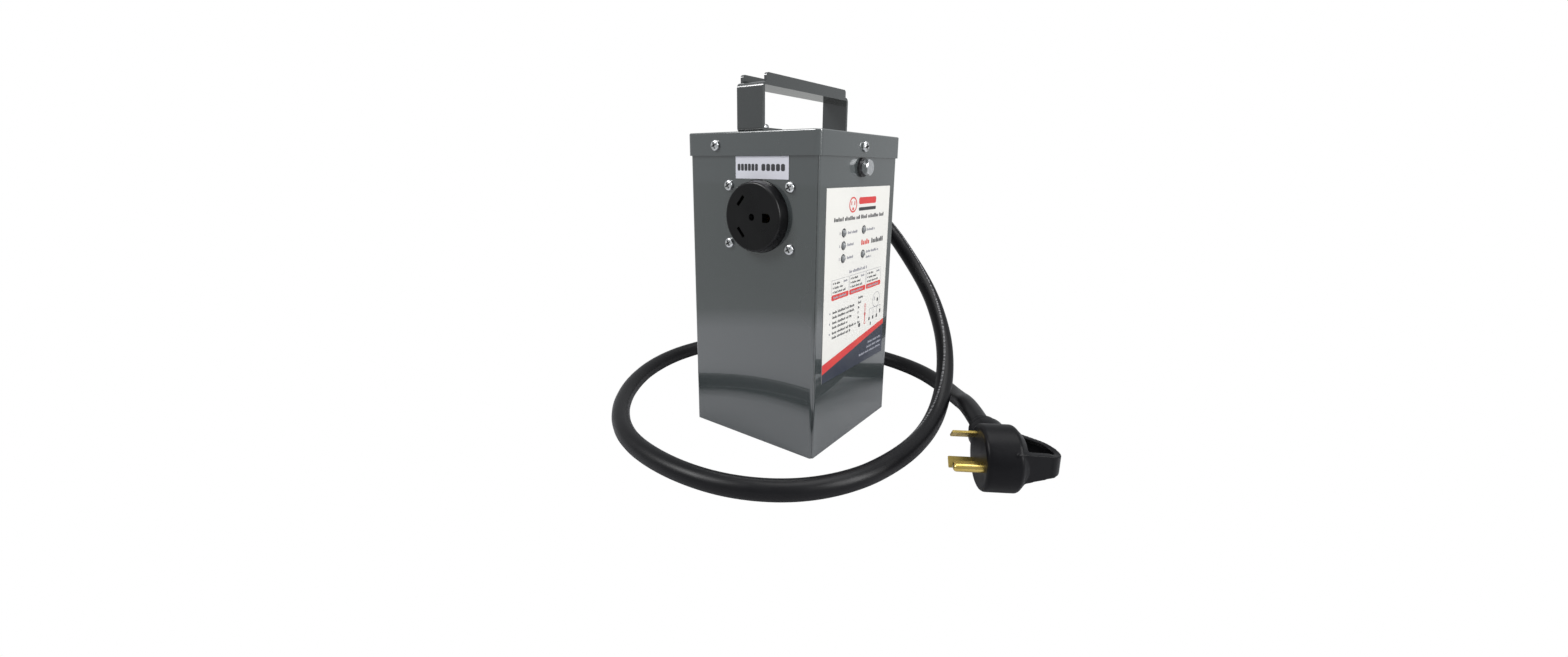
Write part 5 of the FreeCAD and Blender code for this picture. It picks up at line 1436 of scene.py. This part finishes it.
    def boot_profile(self) -> list[Flat]:
        """Outline of the boot, from inside the body out to the cord.

        Returns:
            Radius and height of each step.
        """
        quarter = [0.5 * math.pi * step / self.knuckle_steps for step in range(self.knuckle_steps + 1)]
        ease = self.knuckle_ease
        profile = [(self.knuckles[0][0], -self.boot_bury)]
        start = 0.0
        for radius, end in self.knuckles:
            profile.append((radius - self.neck, start + self.groove / 2.0))
            profile += [(radius - ease * (1.0 - math.sin(angle)),
                         start + self.groove + ease * (1.0 - math.cos(angle))) for angle in quarter]
            profile += [(radius - ease * (1.0 - math.cos(angle)),
                         end - self.groove - ease * (1.0 - math.sin(angle))) for angle in quarter]
            profile.append((radius - self.neck, end - self.groove / 2.0))
            start = end
        return profile

    def build_boot(self) -> bpy.types.Object:
        """Make the ribbed boot that the cord goes into.

        Returns:
            The boot.
        """
        shape = bmesh.new()
        self.lathe(shape, self.boot_profile(), 64)
        piece = mesh_piece("plug_boot", shape, PLUG_BLACK.material())
        bevel = piece.modifiers.new("eased", "BEVEL")
        bevel.width = 0.0003
        bevel.segments = 2
        bevel.limit_method = "ANGLE"
        bake_modifiers(piece)
        along = self.stand().to_3x3() @ Vector((-1.0, 0.0, 0.0))
        root = self.stand() @ Vector((0.0, 0.0, -self.boot_setback))
        lean = Vector((0.0, 0.0, 1.0)).rotation_difference(along).to_matrix().to_4x4()
        piece.data.transform(Matrix.Translation(root + along * self.radius) @ lean)
        settle(piece)
        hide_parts("plug_strain_relief")
        return piece


# ---------------------------------------------------------------- studio
@dataclass(frozen=True)
class SoftLight:
    """One soft rectangular light.

    Attributes:
        name: its name.
        spot: where it hangs.
        width: its width.
        height: its height.
        power: its power in watts.
    """

    name: str
    spot: Point
    width: float
    height: float
    power: float

    def hang(self, target: Vector) -> None:
        """Hang the light.

        Args:
            target: what it looks at.
        """
        light = bpy.data.lights.new(self.name, "AREA")
        light.shape = "RECTANGLE"
        light.size = self.width
        light.size_y = self.height
        light.energy = self.power
        hung = bpy.data.objects.new(self.name, light)
        bpy.context.scene.collection.objects.link(hung)
        hung.location = self.spot
        hung.rotation_euler = (target - Vector(self.spot)).to_track_quat("-Z", "Y").to_euler()


def white_to_camera(bench: NodeBench, glow: str, other: bpy.types.NodeSocket) -> bpy.types.NodeSocket:
    """Show plain white to the camera and another shader to all other rays.

    Args:
        bench: the bench of the floor's material or of the room.
        glow: the node type that glows there.
        other: what the other rays meet.

    Returns:
        The shader for both.
    """
    white = bench.add(glow, {"Color": WHITE, "Strength": 1.0})
    camera_ray = bench.add("ShaderNodeLightPath").outputs["Is Camera Ray"]
    return bench.add("ShaderNodeMixShader", {0: camera_ray, 1: other, 2: white.outputs[0]}).outputs[0]


@dataclass
class Studio:
    """Pale floor, soft lights and the camera.

    Attributes:
        eye: the camera's place.
        azimuth: the way that it looks, in degrees, nought along +Y and 90 along -X.
        drop: how far down it looks, in degrees.
        roll: its lean, in degrees.
        lens: focal length in millimetres on a 36 mm sensor.
        shift: the framing's shift.
        floor_half: half the floor's width.
        bright_reach: how far the floor stays light round the object.
        dark_reach: where it has become dark.
        near_tone: how light it is near the object.
        far_glow: how strongly it glows beyond, for reflections.
        room_glow: strength of the room's light on the object.
        aim: what the lights look at.
        lights: the soft lights.
    """

    eye: Vector = field(default_factory=lambda: Vector((0.27659, -0.39470, 0.22685)))
    azimuth: float = 36.34
    drop: float = 13.29
    roll: float = 0.57
    lens: float = 12.469
    shift: Flat = (0.0011, -0.0205)
    floor_half: float = 6.0
    bright_reach: float = 0.38
    dark_reach: float = 0.49
    near_tone: float = 0.46
    far_glow: float = 0.42
    room_glow: float = 0.50
    aim: Point = (0.0, 0.0, 0.12)
    lights: tuple[SoftLight, ...] = (
        SoftLight("key_light", (-0.9, -1.3, 1.5), 0.9, 0.9, 31.0),
        SoftLight("top_light", (0.2, 0.3, 1.9), 1.4, 1.4, 20.0),
        SoftLight("side_light", (1.6, 0.1, 0.9), 0.7, 1.1, 26.0),
    )

    def build(self) -> None:
        """Set up floor, light and camera."""
        self.build_floor()
        self.build_light()
        self.build_camera()

    def build_floor(self) -> None:
        """Lay the pale floor: white to the eye, and lit only near the object for its reflections."""
        shape = bmesh.new()
        half = self.floor_half
        shape.faces.new([shape.verts.new(corner) for corner in (
            (-half, -half, 0.0), (half, -half, 0.0), (half, half, 0.0), (-half, half, 0.0))])
        mesh_piece("floor", shape, self.floor_paper(), smooth=False)

    def floor_paper(self) -> bpy.types.Material:
        """Paper that is white to the camera, and for other rays pale near the object and dim beyond.

        Returns:
            The material.
        """
        paper = bpy.data.materials.new("studio_floor")
        paper.use_nodes = True
        bench = NodeBench(paper.node_tree)
        place = bench.add("ShaderNodeTexCoord").outputs["Object"]
        reach = bench.add("ShaderNodeVectorMath", {0: place}, operation="LENGTH").outputs["Value"]
        tone = self.near_tone
        near = bench.add("ShaderNodeBsdfDiffuse", {"Color": (tone, tone, tone * 1.04, 1.0)})
        beyond = bench.add("ShaderNodeEmission", {"Color": (0.96, 0.98, 0.97, 1.0),
                                                  "Strength": self.far_glow})
        fade = bench.ramp(reach, self.bright_reach, self.dark_reach)
        around = bench.add("ShaderNodeMixShader", {0: fade, 1: near.outputs[0], 2: beyond.outputs[0]})
        shader = white_to_camera(bench, "ShaderNodeEmission", around.outputs[0])
        bench.add("ShaderNodeOutputMaterial", {"Surface": shader})
        return paper

    def build_light(self) -> None:
        """Fill the room with soft light and hang the soft lights."""
        scene = bpy.context.scene
        room = bpy.data.worlds.new("studio_room")
        room.use_nodes = True
        bench = NodeBench(room.node_tree)
        soft = bench.add("ShaderNodeBackground", {"Color": (0.96, 0.98, 1.0, 1.0),
                                                  "Strength": self.room_glow})
        shader = white_to_camera(bench, "ShaderNodeBackground", soft.outputs[0])
        bench.add("ShaderNodeOutputWorld", {"Surface": shader})
        scene.world = room
        scene.view_settings.view_transform = "Standard"
        for light in self.lights:
            light.hang(Vector(self.aim))

    def build_camera(self) -> None:
        """Place the camera."""
        turn = math.radians(self.azimuth)
        down = math.radians(self.drop)
        ahead = Vector((-math.sin(turn) * math.cos(down), math.cos(turn) * math.cos(down), -math.sin(down)))
        right = ahead.cross(Vector((0.0, 0.0, 1.0))).normalized()
        up = right.cross(ahead)
        lean = math.radians(self.roll)
        right_leaned = right * math.cos(lean) + up * math.sin(lean)
        up_leaned = up * math.cos(lean) - right * math.sin(lean)
        lens = bpy.data.cameras.new("camera")
        lens.sensor_width = 36.0
        lens.lens = self.lens
        lens.shift_x, lens.shift_y = self.shift
        lens.clip_start = 0.01
        camera = bpy.data.objects.new("camera", lens)
        bpy.context.scene.collection.objects.link(camera)
        axes = Matrix((right_leaned, up_leaned, -ahead)).transposed().to_4x4()
        camera.matrix_world = Matrix.Translation(self.eye) @ axes
        bpy.context.scene.camera = camera


def main() -> None:
    """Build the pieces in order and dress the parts."""
    logging.basicConfig(level=logging.INFO, format="%(name)s: %(message)s")
    Studio().build()
    supply = SupplyCord()
    cord = supply.build()
    plug = TrailerPlug()
    moulding = plug.build_body()
    boot = plug.build_boot()
    dress_cad_parts()
    StatusLabel().build()
    OutputLabel().build()


if __name__ == "__main__":
    main()
